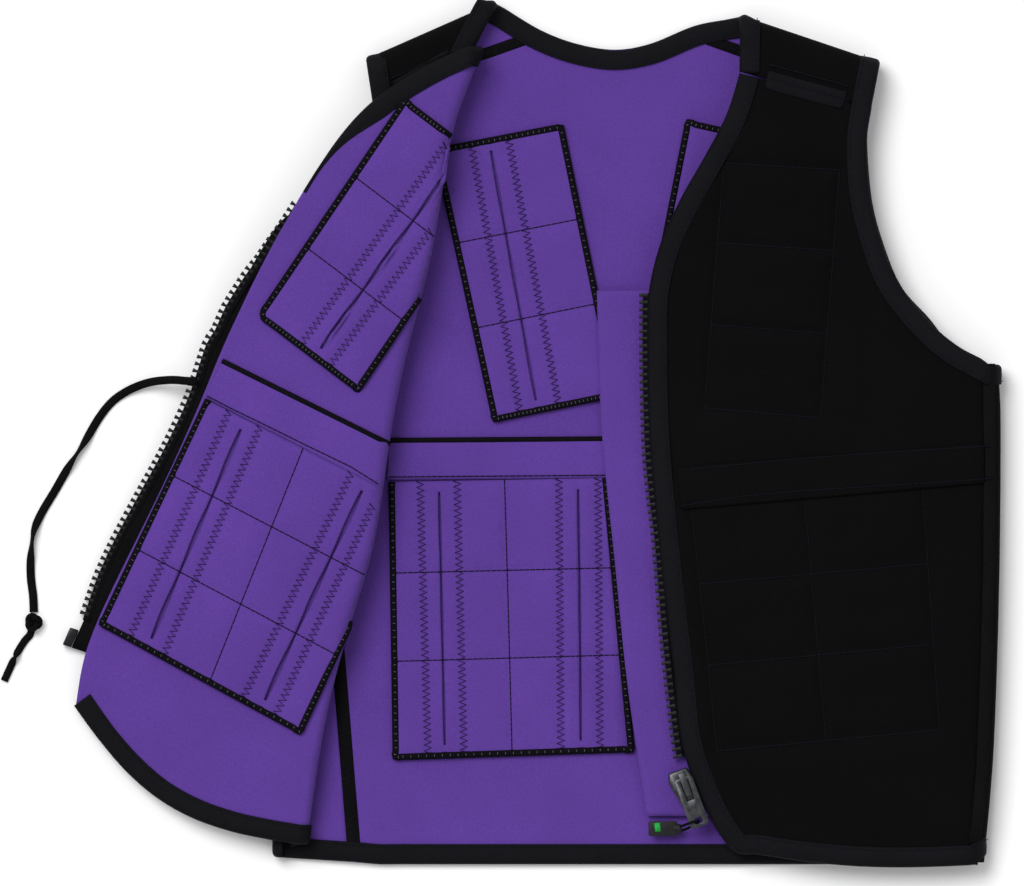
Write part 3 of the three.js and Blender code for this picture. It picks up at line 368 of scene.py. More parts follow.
def addThreads(name, lines, slot, radius=stitch["radius"], material="darkThread"):
    addPiece(name, threadMesh(name, lines, radius), [material], slot)


# a plan line laid on a surface
def laidLine(tree, points, step=stitch["step"], lift=stitch["lift"]):
    places = []
    for a, b in zip(points, points[1:]):
        parts = max(1, round((b - a).length / step))
        places.extend(a.lerp(b, m / parts) for m in range(parts))
    places.append(points[-1])
    return [raised(place, topAt(tree, *place) + lift) for place in places]


def dashes(line, length=stitch["length"], gap=stitch["gap"]):
    runs, run, travelled = [], [line[0]], 0.0
    for a, b in zip(line, line[1:]):
        run.append(b)
        travelled += (b - a).length
        if travelled > length:
            runs.append(run)
            run, travelled = [b + (b - a).normalized() * gap], 0.0
    if len(run) > 1:
        runs.append(run)
    return runs


def zigzag(tree, points):
    centre = laidLine(tree, points, stitch["zigzagPitch"] / 2)
    made = []
    for k, place in enumerate(centre):
        spot = place + leftAt(centre, k).normalized() * stitch["zigzagWidth"] / 2 * (1 if k % 2 else -1)
        made.append(raised(spot, topAt(tree, *spot.xy, place.z) + stitch["lift"]))
    return made

# cloth panels, from the frame's sheets: the first colour is on the side nearest to seed

folds = {"join": 0.6, "skew": 3.1, "side": math.radians(50), "corner": -0.8}


def welded(name):
    work = workOn(nodes[name].data)
    bmesh.ops.remove_doubles(work, verts=work.verts, dist=weld)
    return work


def coarseSheet(name):
    work = welded(name)
    bmesh.ops.join_triangles(work, faces=work.faces, angle_face_threshold=folds["join"],
                             angle_shape_threshold=folds["skew"])
    return work


def floodSide(start):
    found = {start}
    waiting = [start]
    while waiting:
        face = waiting.pop()
        for edge in face.edges:
            for other in edge.link_faces:
                if other not in found and face.normal.angle(other.normal, 3.0) < folds["side"]:
                    found.add(other)
                    waiting.append(other)
    return found


def sidesOf(work, seed):
    first = floodSide(min(work.faces, key=lambda face: (face.calc_center_median() - seed).length))
    rest = max((face for face in work.faces if face not in first), key=lambda face: face.calc_area())
    return first, floodSide(rest)


def panelMesh(name, seed, crease=1.0):
    work = coarseSheet(name)
    creases = work.edges.layers.float.new("crease_edge")
    points = work.verts.layers.float.new("crease_vert")
    first, second = sidesOf(work, seed)
    for edge in work.edges:
        kinds = {0 if face in first else 1 if face in second else 2 for face in edge.link_faces}
        if len(kinds) > 1:
            edge[creases] = crease
    corners = set()
    for vert in work.verts:
        rim = [edge for edge in vert.link_edges if edge[creases] > 0.5]
        if len(rim) == 2:
            ahead, behind = ((edge.other_vert(vert).co - vert.co).normalized() for edge in rim)
            if ahead.dot(behind) > folds["corner"]:
                corners.add(vert)
    for vert in corners:
        vert[points] = 1.0
        for edge in vert.link_edges:
            if edge.other_vert(vert) in corners and not edge[creases]:
                edge[creases] = 1.0
    for face in work.faces:
        face.material_index = 1 if face in second else 0
        face.smooth = True
    return meshOf(work, name)


def subdivide(piece, levels):
    smoothing = piece.modifiers.new("smooth", "SUBSURF")
    smoothing.levels = smoothing.render_levels = levels
    applyModifiers(piece)


def addPanel(name, node, seed, levels, materials, slot, shape=None):
    piece = addPiece(name, panelMesh(node, seed), materials, slot, [node])
    subdivide(piece, levels)
    if shape:
        work = workOn(piece.data)
        work.normal_update()
        for vert in work.verts:
            vert.co += shape(vert.co, vert.normal)
        work.to_mesh(piece.data)
        work.free()
    return piece


# distance in plan from a point to the nearest of some segments
def nearestSegment(x, y, segments):
    best = 1.0
    for a, b in segments:
        dx, dy = b.x - a.x, b.y - a.y
        t = min(max(((x - a.x) * dx + (y - a.y) * dy) / (dx * dx + dy * dy), 0), 1)
        best = min(best, math.hypot(x - a.x - t * dx, y - a.y - t * dy))
    return best


ripple = {"height": 0.5 * mm, "scale": 14.0}
facingUp = 0.3


def softRipple(place, amount=1.0):
    return ripple["height"] * amount * noise.noise(place * ripple["scale"])


# seams sewn through the closed front: the rows and columns of its inner pockets
closedSeams = {
    "upper": {"corners": [(724, 163), (840, 170), (821, 418), (705, 408)], "rows": [0, 0.325, 0.66, 1],
              "columns": [0, 1]},
    "lower": {"corners": [(692, 509), (923, 489), (940, 730), (717.5, 751)], "rows": [0.31, 0.645, 1],
              "columns": [0, 0.489, 1]},
}
seamShape = {"depth": 1.1 * mm, "width": 3.2 * mm, "puff": 0.9 * mm, "puffAt": 14 * mm, "puffWidth": 10 * mm}


def quadPoint(corners, u, v):
    topLeft, topRight, lowRight, lowLeft = corners
    return topLeft.lerp(topRight, u).lerp(lowLeft.lerp(lowRight, u), v)


def seamSegments(plan):
    corners = photoLine(*plan["corners"])
    return ([(quadPoint(corners, 0, v), quadPoint(corners, 1, v)) for v in plan["rows"]]
            + [(quadPoint(corners, u, 0), quadPoint(corners, u, 1)) for u in plan["columns"]])


seams = [segment for plan in closedSeams.values() for segment in seamSegments(plan)]


def rippleShape(place, normal):
    return skyward * softRipple(place) if normal.z > facingUp else Vector()


def closedShape(place, normal):
    if normal.z < facingUp:
        return Vector()
    distance = nearestSegment(place.x, place.y, seams)
    dent = seamShape["depth"] * math.exp(-(distance / seamShape["width"]) ** 2)
    puff = seamShape["puff"] * math.exp(-((distance - seamShape["puffAt"]) / seamShape["puffWidth"]) ** 2)
    return skyward * (puff - dent + softRipple(place))


# panels: piece, the frame's node, a place near the side of the first colour, levels of smoothing, colours, slot, shape
blackUp, purpleUp, purpleBoth = ["blackCloth", "purpleCloth"], ["purpleCloth", "blackCloth"], ["purpleCloth"] * 2
panelPlans = {
    "closed": ("closed_front_cloth", "closed_front", (850, 400, 0.04), 4, blackUp, "outerCloth", closedShape),
    "open": ("open_front_cloth", "open_front", (250, 600, 0.06), 3, purpleUp, "innerCloth", rippleShape),
    "back": ("back_cloth", "back_panel", (600, 300, 0.05), 3, purpleUp, "innerCloth", None),
    "right": ("side_cloth_right", "side_panel_right", (1015, 600, 0.011), 3, blackUp, "outerCloth", None),
    "left": ("side_cloth_left", "side_panel_left", (240, 500, 0.009), 3, blackUp, "outerCloth", None),
    "shoulderRight": ("shoulder_cloth_right", "shoulder_right", (810, 60, 0.05), 3, blackUp, "outerCloth", None),
    "shoulderLeft": ("shoulder_cloth_left", "shoulder_left", (425, 60, 0.05), 3, blackUp, "outerCloth", None),
}
closedFront, openFront, backPanel, sideRight, sideLeft, shoulderRight, shoulderLeft = (
    addPanel(name, node, atPhoto(*seed), *rest) for name, node, seed, *rest in panelPlans.values())
flap = addPanel("zip_flap_cloth", "zip_flap", atPhoto(620, 500, 0.05), 3, purpleBoth, "innerCloth")
print("panels made")


# rims: the middle line of a sheet's edge, with the way through the cloth and the way inwards

def rimLoop(name, seed):
    work = coarseSheet(name)
    first, second = sidesOf(work, seed)
    border = [edge for edge in work.edges
              if any(face in first for face in edge.link_faces) and not all(face in first for face in edge.link_faces)]
    links = {}
    for edge in border:
        for vert in edge.verts:
            links.setdefault(vert, []).append(edge)
    start = border[0].verts[0]
    order, before, vert = [start], None, start
    while True:
        edge = next(edge for edge in links[vert] if edge is not before)
        vert, before = edge.other_vert(vert), edge
        if vert is start:
            break
        order.append(vert)
    stations = []
    for vert in order:
        across = [other for face in vert.link_faces if face not in first for other in face.verts
                  if not any(near in first for near in other.link_faces)]
        if not across:
            continue
        partner = min(across, key=lambda other: (other.co - vert.co).length)
        inward = Vector()
        for edge in links[vert]:
            for loop in edge.link_loops:
                if loop.face in first:
                    inward += loop.face.normal.cross(loop.link_loop_next.vert.co - loop.vert.co).normalized()
        stations.append(((vert.co + partner.co) / 2, (vert.co - partner.co).normalized(), inward.normalized()))
    work.free()
    return stations


# the stations from the one nearest to start to the one nearest to end, by way of the one nearest to via
def rimStretch(loop, start, via, end):
    count = len(loop)
    first, middle, last = [min(range(count), key=lambda k: (loop[k][0] - place).length) for place in (start, via, end)]
    forward = [(first + k) % count for k in range((last - first) % count + 1)]
    if middle in forward:
        return [loop[k] for k in forward]
    backward = [(first - k) % count for k in range((first - last) % count + 1)]
    return [loop[k] for k in backward]


binding = {"leg": 10.5 * mm, "least": 3.2 * mm, "inner": 1.9 * mm, "outer": 2.9 * mm, "reach": 1.6 * mm,
           "turn": 1.5 * mm, "step": 3 * mm, "apart": 1.2 * mm, "stitchPlace": 8.6 * mm, "stitchLength": 3.2 * mm,
           "stitchGap": 2.0 * mm}


def bindingSection(narrow=1.0):
    leg, least, inner, outer, reach, turn = (
        binding[key] for key in ("leg", "least", "inner", "outer", "reach", "turn"))
    leg = least + (leg - least) * narrow
    top = [(leg, inner), (leg, outer - 0.35 * mm), (leg - 0.6 * mm, outer - 0.05 * mm),
           (leg - 1.7 * mm, outer - 0.25 * mm), (leg - 2.8 * mm, outer), (leg * 0.45, outer + 0.1 * mm), (turn, outer)]
    bend = [(turn - (reach + turn) * math.sin(angle), outer * math.cos(angle))
            for angle in (math.pi * k / 8 for k in range(1, 8))]
    low = [(a, -b) for a, b in reversed(top)]
    inside = [(-0.5 * mm, -inner * 0.9), (-0.5 * mm, inner * 0.9)]
    size = 0.5 + 0.5 * narrow
    return [(a * size, b * size) for a, b in top + bend + low + inside]


def narrowing(share, start, end):
    part = min(max((share - start) / (end - start), 0), 1)
    return 1 - part * part * (3 - 2 * part)


def addBinding(name, stretches, replaced, closed=False, taper=None):
    stations = [station for stretch in stretches for station in stretch]
    kept = [stations[0]]
    for station in stations[1:]:
        if (station[0] - kept[-1][0]).length > binding["apart"]:
            kept.append(station)
    ups = [kept[0][1]]
    for _, up, _ in kept[1:]:
        ups.append(up if up.dot(ups[-1]) > 0 else -up)
    points = [station[0] for station in kept]
    line = smoothLine(points, binding["step"], closed)
    smoothUps = smoothLineLike(points, ups, closed)
    smoothIn = smoothLineLike(points, [station[2] for station in kept], closed)
    section = (lambda share: bindingSection(narrowing(share, *taper))) if taper else bindingSection()
    addSweep(name, line, section, "bindingCloth", replaced=replaced, ups=smoothUps, closed=closed, inwards=smoothIn)
    frames = list(framesAlong(line, smoothUps, closed, smoothIn))
    if taper:
        frames = frames[:int(taper[0] * len(line)) + 1]
    runs = []
    for side in (1, -1):
        row = [point + inward * binding["stitchPlace"] + up * side * (binding["outer"] - 0.1 * mm)
               for point, inward, up in frames]
        runs.extend(dashes(row, binding["stitchLength"], binding["stitchGap"]))
    addThreads(name + "_stitches", runs, "binding", stitch["fine"])


# values that go with the points of smoothLine, spread over the same spans
def smoothLineLike(points, values, closed):
    count = len(points)
    made = []
    for k in range(count if closed else count - 1):
        a, b = values[k], values[(k + 1) % count]
        parts = max(1, round((points[(k + 1) % count] - points[k]).length / binding["step"]))
        made.extend(a.lerp(b, m / parts).normalized() for m in range(parts))
    if not closed:
        made.append(values[-1].copy())
    return made


rims = {key: rimLoop(node, atPhoto(*seed)) for key, (_, node, seed, *_) in panelPlans.items()}


def stretch(rim, start, via, end):
    return rimStretch(rims[rim], atPhoto(*start), atPhoto(*via), atPhoto(*end))


# one more station beyond the end of a stretch
def continued(stations, place):
    return stations + [(atPhoto(*place), stations[-1][1], stations[-1][2])]


high, low = 0.022, 0.003
closedHem = stretch("closed", (734, 848, high), (850, 864, high), (974, 862, high))
addBinding("front_edge_tape", [
    stretch("closed", (742, 73, high), (654, 500, high), (734, 848, high)),
    closedHem[1:3],
], ["front_edge_binding"])
addBinding("neck_tape", [
    stretch("shoulderRight", (742, 73, high), (743, 15, 0.012), (695, 29, low)),
    stretch("back", (690, 30, low), (620, 50, low), (545, 32, low)),
    continued(stretch("shoulderLeft", (540, 31, low), (495, 2, 0.01), (474, 44, 0.016)), (465, 62, 0.0165)),
], ["neck_binding"])
addBinding("armhole_tape_right", [
    stretch("closed", (869, 108, high), (900, 310, high), (978, 361, high)),
    stretch("right", (988, 367, 0.020), (1002, 367, 0.011), (948, 367, low)),
    stretch("back", (949, 350, low), (880, 250, low), (870, 95, low)),
    stretch("shoulderRight", (870, 94, low), (880, 70, 0.012), (869, 107, high)),
], ["armhole_binding_right"], True)
addBinding("armhole_tape_left", [
    stretch("open", (375, 104, 0.016), (330, 230, 0.016), (280, 355, 0.016)),
    stretch("left", (271, 367, 0.015), (255, 367, 0.009), (314, 367, low)),
    stretch("back", (313, 350, low), (360, 250, low), (375, 92, low)),
    stretch("shoulderLeft", (375, 91, low), (366, 70, 0.01), (375, 102, 0.016)),
], ["armhole_binding_left"], True)
addBinding("lapel_neck_tape", [
    continued(stretch("open", (478, 50, 0.024), (400, 95, 0.03), (321, 166, 0.0264)), (304, 192, 0.0258)),
], ["lapel_neck_binding"], taper=(0.5, 0.92))


# stations moved down the photograph by some pixels, given for each across it
def lowered(stations, drop):
    moved = []
    for place, up, inward in stations:
        px = (place.x - photo["left"]) / photo["stepX"]
        moved.append((place - Vector((0, drop(px) * photo["stepY"], 0)), up, inward))
    return moved


addBinding("hem_tape", [
    closedHem[1:],
    lowered(stretch("right", (974, 862, 0.018), (985, 862, 0.010), (912, 862, low)), lambda px: min(974 - px, 0)),
    stretch("back", (911, 861, low), (630, 862, low), (379, 861, low)),
    lowered(stretch("left", (350, 847, low), (300, 847, 0.007), (291, 847, 0.012)), lambda px: 8 + (px - 283) / 16),
], ["hem_binding"])
addBinding("hem_tape_open", [
    stretch("open", (292, 845, 0.012), (307, 842, 0.010), (77, 705, 0.02)),
], ["hem_binding_open"])
print("bindings made")


# pockets: a sheet sewn to the cloth under it, with cells, slits and sewn rows
# corners run from the top left; columns are (kind, share along the top, share along the foot)
cells = {"step": 2.2 * mm, "thick": 2.0 * mm, "gap": 0.35 * mm, "puff": 1.5 * mm, "soft": 4.5 * mm, "gape": 0.55 * mm,
         "lift": 0.7 * mm, "liftWidth": 4 * mm, "liftEnd": 8 * mm, "zigzag": 1.2 * mm, "shut": 0.03, "merge": 0.05 * mm,
         "onSlit": 0.99}
# steps along a sewn row and a sewn column, and shares of the pocket that they keep from its edge
sewn = {"row": 60, "column": 80, "least": 8, "clear": 0.03, "edge": 0.004}
openBead, closedBead = "left foot right", "left foot right top"
pocketColumns = ("host", "gape", "bead", "rows", "corners", "columns")
pocketPlans = {
    "pocket_open_upper": (
        openFront, 1.5 * mm, closedBead, [0, 0.35, 0.68, 1], [(405, 101), (503, 175), (357.6, 390), (259.6, 316)],
        [("zigzag", 0.474, 0.41), ("slit", 0.625, 0.56), ("zigzag", 0.80, 0.70)]),
    "pocket_open_lower": (
        openFront, 1.1 * mm, openBead, [0, 0.335, 0.665, 1], [(207, 400), (409, 502), (300, 732), (101, 624)],
        [("zigzag", 0.109, 0.14), ("slit", 0.188, 0.231), ("zigzag", 0.262, 0.31), ("seam", 0.475, 0.543),
         ("zigzag", 0.715, 0.709), ("slit", 0.79, 0.80), ("zigzag", 0.86, 0.87)]),
    "pocket_back_upper_left": (
        backPanel, 0.5 * mm, closedBead, [0, 0.345, 0.66, 1], [(436, 150), (561, 126), (616, 395), (495, 420)],
        [("zigzag", 0.28, 0.21), ("slit", 0.424, 0.355), ("zigzag", 0.576, 0.529)]),
    "pocket_back_upper_right": (
        backPanel, 0.5 * mm, closedBead, [0, 0.345, 0.66, 1], [(688, 122), (813, 150), (755, 420), (634, 395)],
        [("zigzag", 0.424, 0.471), ("slit", 0.576, 0.645), ("zigzag", 0.72, 0.79)]),
    "pocket_back_lower_left": (
        backPanel, 0.4 * mm, openBead, [0, 0.33, 0.65, 1], [(391, 482), (606, 478), (632, 750), (395, 758)],
        [("zigzag", 0.135, 0.139), ("slit", 0.223, 0.211), ("zigzag", 0.307, 0.291), ("seam", 0.528, 0.494),
         ("zigzag", 0.781, 0.70), ("slit", 0.87, 0.785), ("zigzag", 0.963, 0.865)]),
    "pocket_back_lower_right": (
        backPanel, 0.4 * mm, openBead, [0, 0.33, 0.65, 1], [(654, 478), (866, 482), (862, 758), (639, 750)],
        [("zigzag", 0.135, 0.139), ("slit", 0.223, 0.211), ("zigzag", 0.307, 0.291), ("seam", 0.5, 0.5),
         ("zigzag", 0.693, 0.709), ("slit", 0.777, 0.789), ("zigzag", 0.865, 0.861)]),
}
trees = {piece.name: treeOf(piece) for piece in (openFront, backPanel, closedFront)}
rimFold = {"level": 25 * mm, "normal": 0.35, "halvings": 14}


# how far along a row the host still carries the pocket before it turns under
def reachOf(tree, a, b):
    if hitFromAbove(tree, b.x, b.y)[0] and abs(topAt(tree, b.x, b.y) - topAt(tree, a.x, a.y)) < rimFold["level"]:
        return 1.0
    inside, outside = 0.0, 1.0
    for _ in range(rimFold["halvings"]):
        middle = (inside + outside) / 2
        place = a.lerp(b, middle)
        hit = hitFromAbove(tree, place.x, place.y)
        if hit[0] and hit[1].z > rimFold["normal"]:
            inside = middle
        else:
            outside = middle
    return inside


def columnAt(top, foot, v):
    return top + (foot - top) * v


def pocketPuff(plan, u, v, width, height):
    fromRows = [abs(v - row) * height for row in plan["rows"]]
    away = fromRows + [u * width, (1 - u) * width]
    slits = []
    for kind, top, foot in plan["columns"]:
        across = abs(u - columnAt(top, foot, v)) * width
        away.append(across if kind != "zigzag" else max(across - cells["zigzag"], 0))
        if kind == "slit":
            slits.append(across)
    rise = cells["puff"] * (1 - math.exp(-min(away) / cells["soft"]))
    if slits and min(slits) < cells["liftWidth"]:
        lip = cells["lift"] * (1 - min(slits) / cells["liftWidth"]) * min(1, min(fromRows) / cells["liftEnd"])
        rise = max(rise, lip)
    return rise


def slitGape(plan, v):
    for low, high in zip(plan["rows"], plan["rows"][1:]):
        if low <= v <= high:
            share = (v - low) / (high - low)
            return cells["gape"] + plan["gape"] * math.sin(math.pi * share) ** 1.5
    return cells["gape"]


def openAt(v):
    return cells["shut"] < v < 1 - cells["shut"]


# columns of a pocket's grid: share along the top, share along the foot, and -1 or 1 on the two sides of a slit
def gridColumns(plan, width):
    columns = [(0, 0, 0)]
    seamed = [("edge", 0, 0)] + plan["columns"] + [("edge", 1, 1)]
    for before, after in zip(seamed, seamed[1:]):
        count = max(1, round((after[1] - before[1]) * width / cells["step"]))
        start = (before[1], before[2], 1 if before[0] == "slit" else 0)
        end = (after[1], after[2], -1 if after[0] == "slit" else 0)
        for m in range(0 if before[0] == "slit" else 1, count + 1):
            columns.append(tuple(a + (b - a) * m / count for a, b in zip(start, end)))
    return columns


def gridRows(plan, height):
    rows = [0.0]
    for low, high in zip(plan["rows"], plan["rows"][1:]):
        count = round((high - low) * height / cells["step"])
        rows.extend(low + (high - low) * (m + 1) / count for m in range(count))
    return rows


# faces of a grid of corners, without the cut ones and those past the host's fold, which have no width
def gridFaces(corner, rows, count, cut=lambda i, j: False):
    faces = []
    for i in range(rows - 1):
        for j in range(count - 1):
            quad = [i * count + j, (i + 1) * count + j, (i + 1) * count + j + 1, i * count + j + 1]
            a, b, c, d = (corner[k] for k in quad)
            if (d - a).length + (c - b).length > weld and not cut(i, j):
                faces.append(quad)
    return faces


def addSheet(name, corner, faces, merge, thick, material, slot, replaced):
    mesh = meshFrom(name, corner, faces)
    work = workOn(mesh)
    bmesh.ops.remove_doubles(work, verts=work.verts, dist=merge)
    bmesh.ops.delete(work, geom=[vert for vert in work.verts if not vert.link_faces], context="VERTS")
    work.normal_update()
    if sum(face.normal.z for face in work.faces) < 0:
        bmesh.ops.reverse_faces(work, faces=work.faces)
    work.to_mesh(mesh)
    work.free()
    piece = addPiece(name, mesh, [material], slot, [replaced])
    wall = piece.modifiers.new("wall", "SOLIDIFY")
    wall.thickness = thick
    wall.offset = -1
    applyModifiers(piece)
    trees[name] = treeOf(piece)
    return piece


def addPocket(name, plan):
    host = trees[plan["host"].name]
    corners = photoLine(*plan["corners"])
    width = ((corners[1] - corners[0]).length + (corners[2] - corners[3]).length) / 2
    height = ((corners[3] - corners[0]).length + (corners[2] - corners[1]).length) / 2
    columns, rows = gridColumns(plan, width), gridRows(plan, height)
    corner, reach = [], []
    for v in rows:
        a, b = quadPoint(corners, 0, v), quadPoint(corners, 1, v)
        most = reachOf(host, a, b)
        reach.append(most)
        gape = (b - a).normalized() * (slitGape(plan, v) if openAt(v) else 0)
        for top, foot, side in columns:
            u = min(columnAt(top, foot, v), most)
            place = a.lerp(b, u) + gape * (side if abs(side) > cells["onSlit"] else 0)
            level = topAt(host, place.x, place.y) + cells["gap"] + cells["thick"]
            corner.append(raised(place, level + pocketPuff(plan, u, v, width, height)))

    def cut(i, j):
        slit = columns[j][2] < -cells["onSlit"] and columns[j + 1][2] > cells["onSlit"]
        return slit and openAt(rows[i]) and openAt(rows[i + 1])

    def reachAt(v):
        return reach[min(int(v * (len(rows) - 1) + 0.5), len(rows) - 1)]

    def onPocket(u, v):
        return quadPoint(corners, 0, v).lerp(quadPoint(corners, 1, v), min(u, reachAt(v) - sewn["edge"]))

    faces = gridFaces(corner, len(rows), len(columns), cut)
    piece = addSheet(name + "_cloth", corner, faces, cells["merge"], cells["thick"], "purpleCloth", "innerCloth", name)
    tree = trees[piece.name]
    threads = []
    for v in plan["rows"][1:-1]:
        threads.extend(dashes(laidLine(tree, [onPocket(k / sewn["row"], v) for k in range(1, sewn["row"])])))
    for kind, top, foot in plan["columns"]:
        downs = [k / sewn["column"] for k in range(sewn["column"] + 1)]
        shares = [(columnAt(top, foot, v), v) for v in downs]
        line = [onPocket(u, v) for u, v in shares if u < reachAt(v) - sewn["clear"]]
        if kind == "zigzag" and len(line) > sewn["least"]:
            threads.append(zigzag(tree, [line[0], line[-1]]))
        if kind == "seam":
            threads.extend(dashes(laidLine(tree, line)))
    addThreads(name + "_stitches", threads, "innerCloth")
    addBead(name, plan, onPocket, reachAt, tree)


bead = {"width": 4.2 * mm, "height": 2.4 * mm, "step": 2.0 * mm, "apart": 3 * mm, "sink": 0.1 * mm,
        "downSteps": 40, "acrossSteps": 30, "dot": 0.204 * mm, "dotSpace": 2.4 * mm, "dotReach": 0.16,
        "dotSink": 0.05 * mm, "waistWidth": 3.3 * mm, "waistHeight": 2.2 * mm}


# a narrow black binding sewn along a line
def addBeadLine(name, line, width, height):
    smooth = smoothLine(line, bead["step"])
    addSweep(name, smooth, oval(width, height, 12), "beadCloth")
    return smooth


# small pale stitches across it
def addDots(name, smooth):
    marks, travelled = [], 0.0
    for k in range(1, len(smooth) - 1):
        travelled += (smooth[k] - smooth[k - 1]).length
        if travelled > bead["dotSpace"]:
            travelled = 0.0
            across = leftAt(smooth, k) * bead["width"] * bead["dotReach"]
            top = smooth[k] + skyward * (bead["height"] / 2 - bead["dotSink"])
            marks.append([top - across, top + across])
    addThreads(name, marks, "binding", bead["dot"], "paleThread")


def addBead(name, plan, onPocket, reachAt, tree):
    downs = [k / bead["downSteps"] for k in range(bead["downSteps"] + 1)]
    acrosses = [k / bead["acrossSteps"] for k in range(bead["acrossSteps"] + 1)]
    shown = [v for v in downs if reachAt(v) > 0.99]
    sides = {
        "right": [onPocket(1, v) for v in shown],
        "foot": [onPocket(1 - u, 1 - sewn["edge"]) for u in acrosses],
        "left": [onPocket(sewn["edge"], 1 - v) for v in downs],
        "top": [onPocket(u, sewn["edge"]) for u in acrosses],
    }
    line = []
    for key, side in sides.items():
        for place in side if key in plan["bead"] else ():
            spot = raised(place, topAt(tree, *place))
            if not line or (spot - line[-1]).length > bead["apart"]:
                line.append(spot)
    if "top" in plan["bead"] and len(shown) == len(downs):
        line.append(line[0].copy())
    line = [spot - skyward * bead["sink"] for spot in line]
    addDots(name + "_bead_dots", addBeadLine(name + "_bead", line, bead["width"], bead["height"]))


for name, plan in pocketPlans.items():
    addPocket(name, dict(zip(pocketColumns, plan)))
print("pockets made")


# pockets behind the closed front, out of sight: plain sheets
for node in ("pocket_closed_upper", "pocket_closed_lower"):
    hidden = addPanel(node + "_cloth", node, atPhoto(780, 350, 0.0), 2, purpleBoth, "innerCloth")


# waist: the drawcord's casing inside, and the band outside the closed front
def addStrip(name, host, corners, heights, material, slot, replaced, steps):
    corners = photoLine(*corners)
    tree = trees[host.name]
    lift, thick, puff = heights
    across, down = steps
    corner = []
    for i in range(down + 1):
        v = i / down
        a, b = quadPoint(corners, 0, v), quadPoint(corners, 1, v)
        most = reachOf(tree, a, b)
        for j in range(across + 1):
            place = a.lerp(b, min(j / across, most))
            rise = lift + thick + puff * math.sin(math.pi * v) ** 0.6 + softRipple(place, 0.5)
            corner.append(raised(place, topAt(tree, place.x, place.y) + rise))
    faces = gridFaces(corner, down + 1, across + 1)
    piece = addSheet(name, corner, faces, weld, thick, material, slot, replaced)


casingHeights, bandHeights = (0.4 * mm, 1.5 * mm, 1.0 * mm), (0.2 * mm, 1.3 * mm, 0.7 * mm)
addStrip("waist_casing_open_cloth", openFront, [(222, 361), (392, 445), (386, 492), (205, 398)], casingHeights,
         "purpleCloth", "innerCloth", "waist_casing_open", (90, 14))
addStrip("waist_casing_back_cloth", backPanel, [(388, 441), (872, 437), (873, 476), (387, 480)], casingHeights,
         "purpleCloth", "innerCloth", "waist_casing_back", (240, 14))
addStrip("waist_band_cloth", closedFront, [(676, 467), (993, 443), (997, 482), (682, 509.5)], bandHeights,
         "blackCloth", "outerCloth", "waist_band_closed", (150, 22))
for name, host, points in (("waist_bead_open", openFront, [(222, 361), (389, 444)]),
                           ("waist_bead_back", backPanel, [(390, 440.5), (872, 437)])):
    line = laidLine(trees[host.name], photoLine(*points), 6 * mm, 1.7 * mm)
    addBeadLine(name, line, bead["waistWidth"], bead["waistHeight"])
seamLines = [
    ("waist_casing_open_cloth", "waist_casing_open_cloth", "innerCloth",
     [(207, 396), (232, 409), (263, 424), (303.5, 444), (351, 467), (378, 484)]),
    ("waist_casing_back_cloth", "waist_casing_back_cloth", "innerCloth", [(389, 477), (870, 473)]),
    ("waist_band_cloth", "waist_band_cloth", "innerCloth",
     [(680, 506), (740, 496.5), (806, 490.5), (921, 483.5), (992, 478.5)]),
    ("band_top", "waist_band_cloth", "outerCloth", [(690, 469.5), (795, 459), (884, 452.5), (991, 446)]),
]
for name, host, slot, points in seamLines:
    addThreads(name + "_stitches", dashes(laidLine(trees[host], photoLine(*points))), slot)
closedTree = trees[closedFront.name]
addThreads("closed_front_stitches", [run for a, b in seams for run in dashes(laidLine(closedTree, [a, b]))],
           "outerCloth")
print("waist made")


# seams of the back inside: flat tape with a zigzag along it
def addSeamTape(name, points, width):
    line = smoothLine(laidLine(trees[backPanel.name], photoLine(*points), 6 * mm, 0.35 * mm), 3 * mm)
    section = [(-width / 2, 0), (-width / 2 + 0.3 * mm, 0.4 * mm), (0, 0.5 * mm), (width / 2 - 0.3 * mm, 0.4 * mm),
               (width / 2, 0), (0, -0.2 * mm)]
    piece = addSweep(name, line, section, "tapeCloth")
    run = zigzag(treeOf(piece), [line[0], line[len(line) // 2], line[-1]])
    addThreads(name + "_stitches", [run], "binding")


for name, points, width in (
        ("side_seam_tape_left", [(334, 606), (339, 664), (347, 765), (354, 850)], 8.0 * mm),
        ("side_seam_tape_right", [(916, 606), (911, 664), (903, 765), (896, 850)], 8.0 * mm),
        ("shoulder_seam_tape_left", [(400, 88), (467, 60), (525, 39.5)], 6.6 * mm),
        ("shoulder_seam_tape_right", [(708, 39.5), (766, 60), (840, 88)], 6.6 * mm)):
    addSeamTape(name, points, width)
sideTape = {"out": 1.4 * mm, "lift": 2.1 * mm, "width": 7.8 * mm, "thick": 1.6 * mm}
sideSeam = [place - inward * sideTape["out"] + skyward * sideTape["lift"]
            for place, _, inward in stretch("closed", (985, 384, high), (988, 600, high), (976, 850, high))]
addSweep("front_side_seam", sideSeam, oval(sideTape["width"], sideTape["thick"]), "tapeCloth")
for side, host, points in (("right", shoulderRight, [(768, 71), (808, 82), (848, 93)]),
                           ("left", shoulderLeft, [(390, 86), (425, 70), (452, 58)])):
    node = "shoulder_tape_" + side
    tape = addPanel(node + "_cloth", node, atPhoto(*points[1], 0.05), 3, ["bindingCloth"] * 2, "binding")
    edges = []
    for shift in (-4.2 * mm, 4.2 * mm):
        line = [place + Vector((0, shift, 0)) for place in photoLine(*points)]
        edges.extend(dashes(laidLine(treeOf(tape), line)))
    addThreads(node + "_stitches", edges, "binding")
print("seams made")


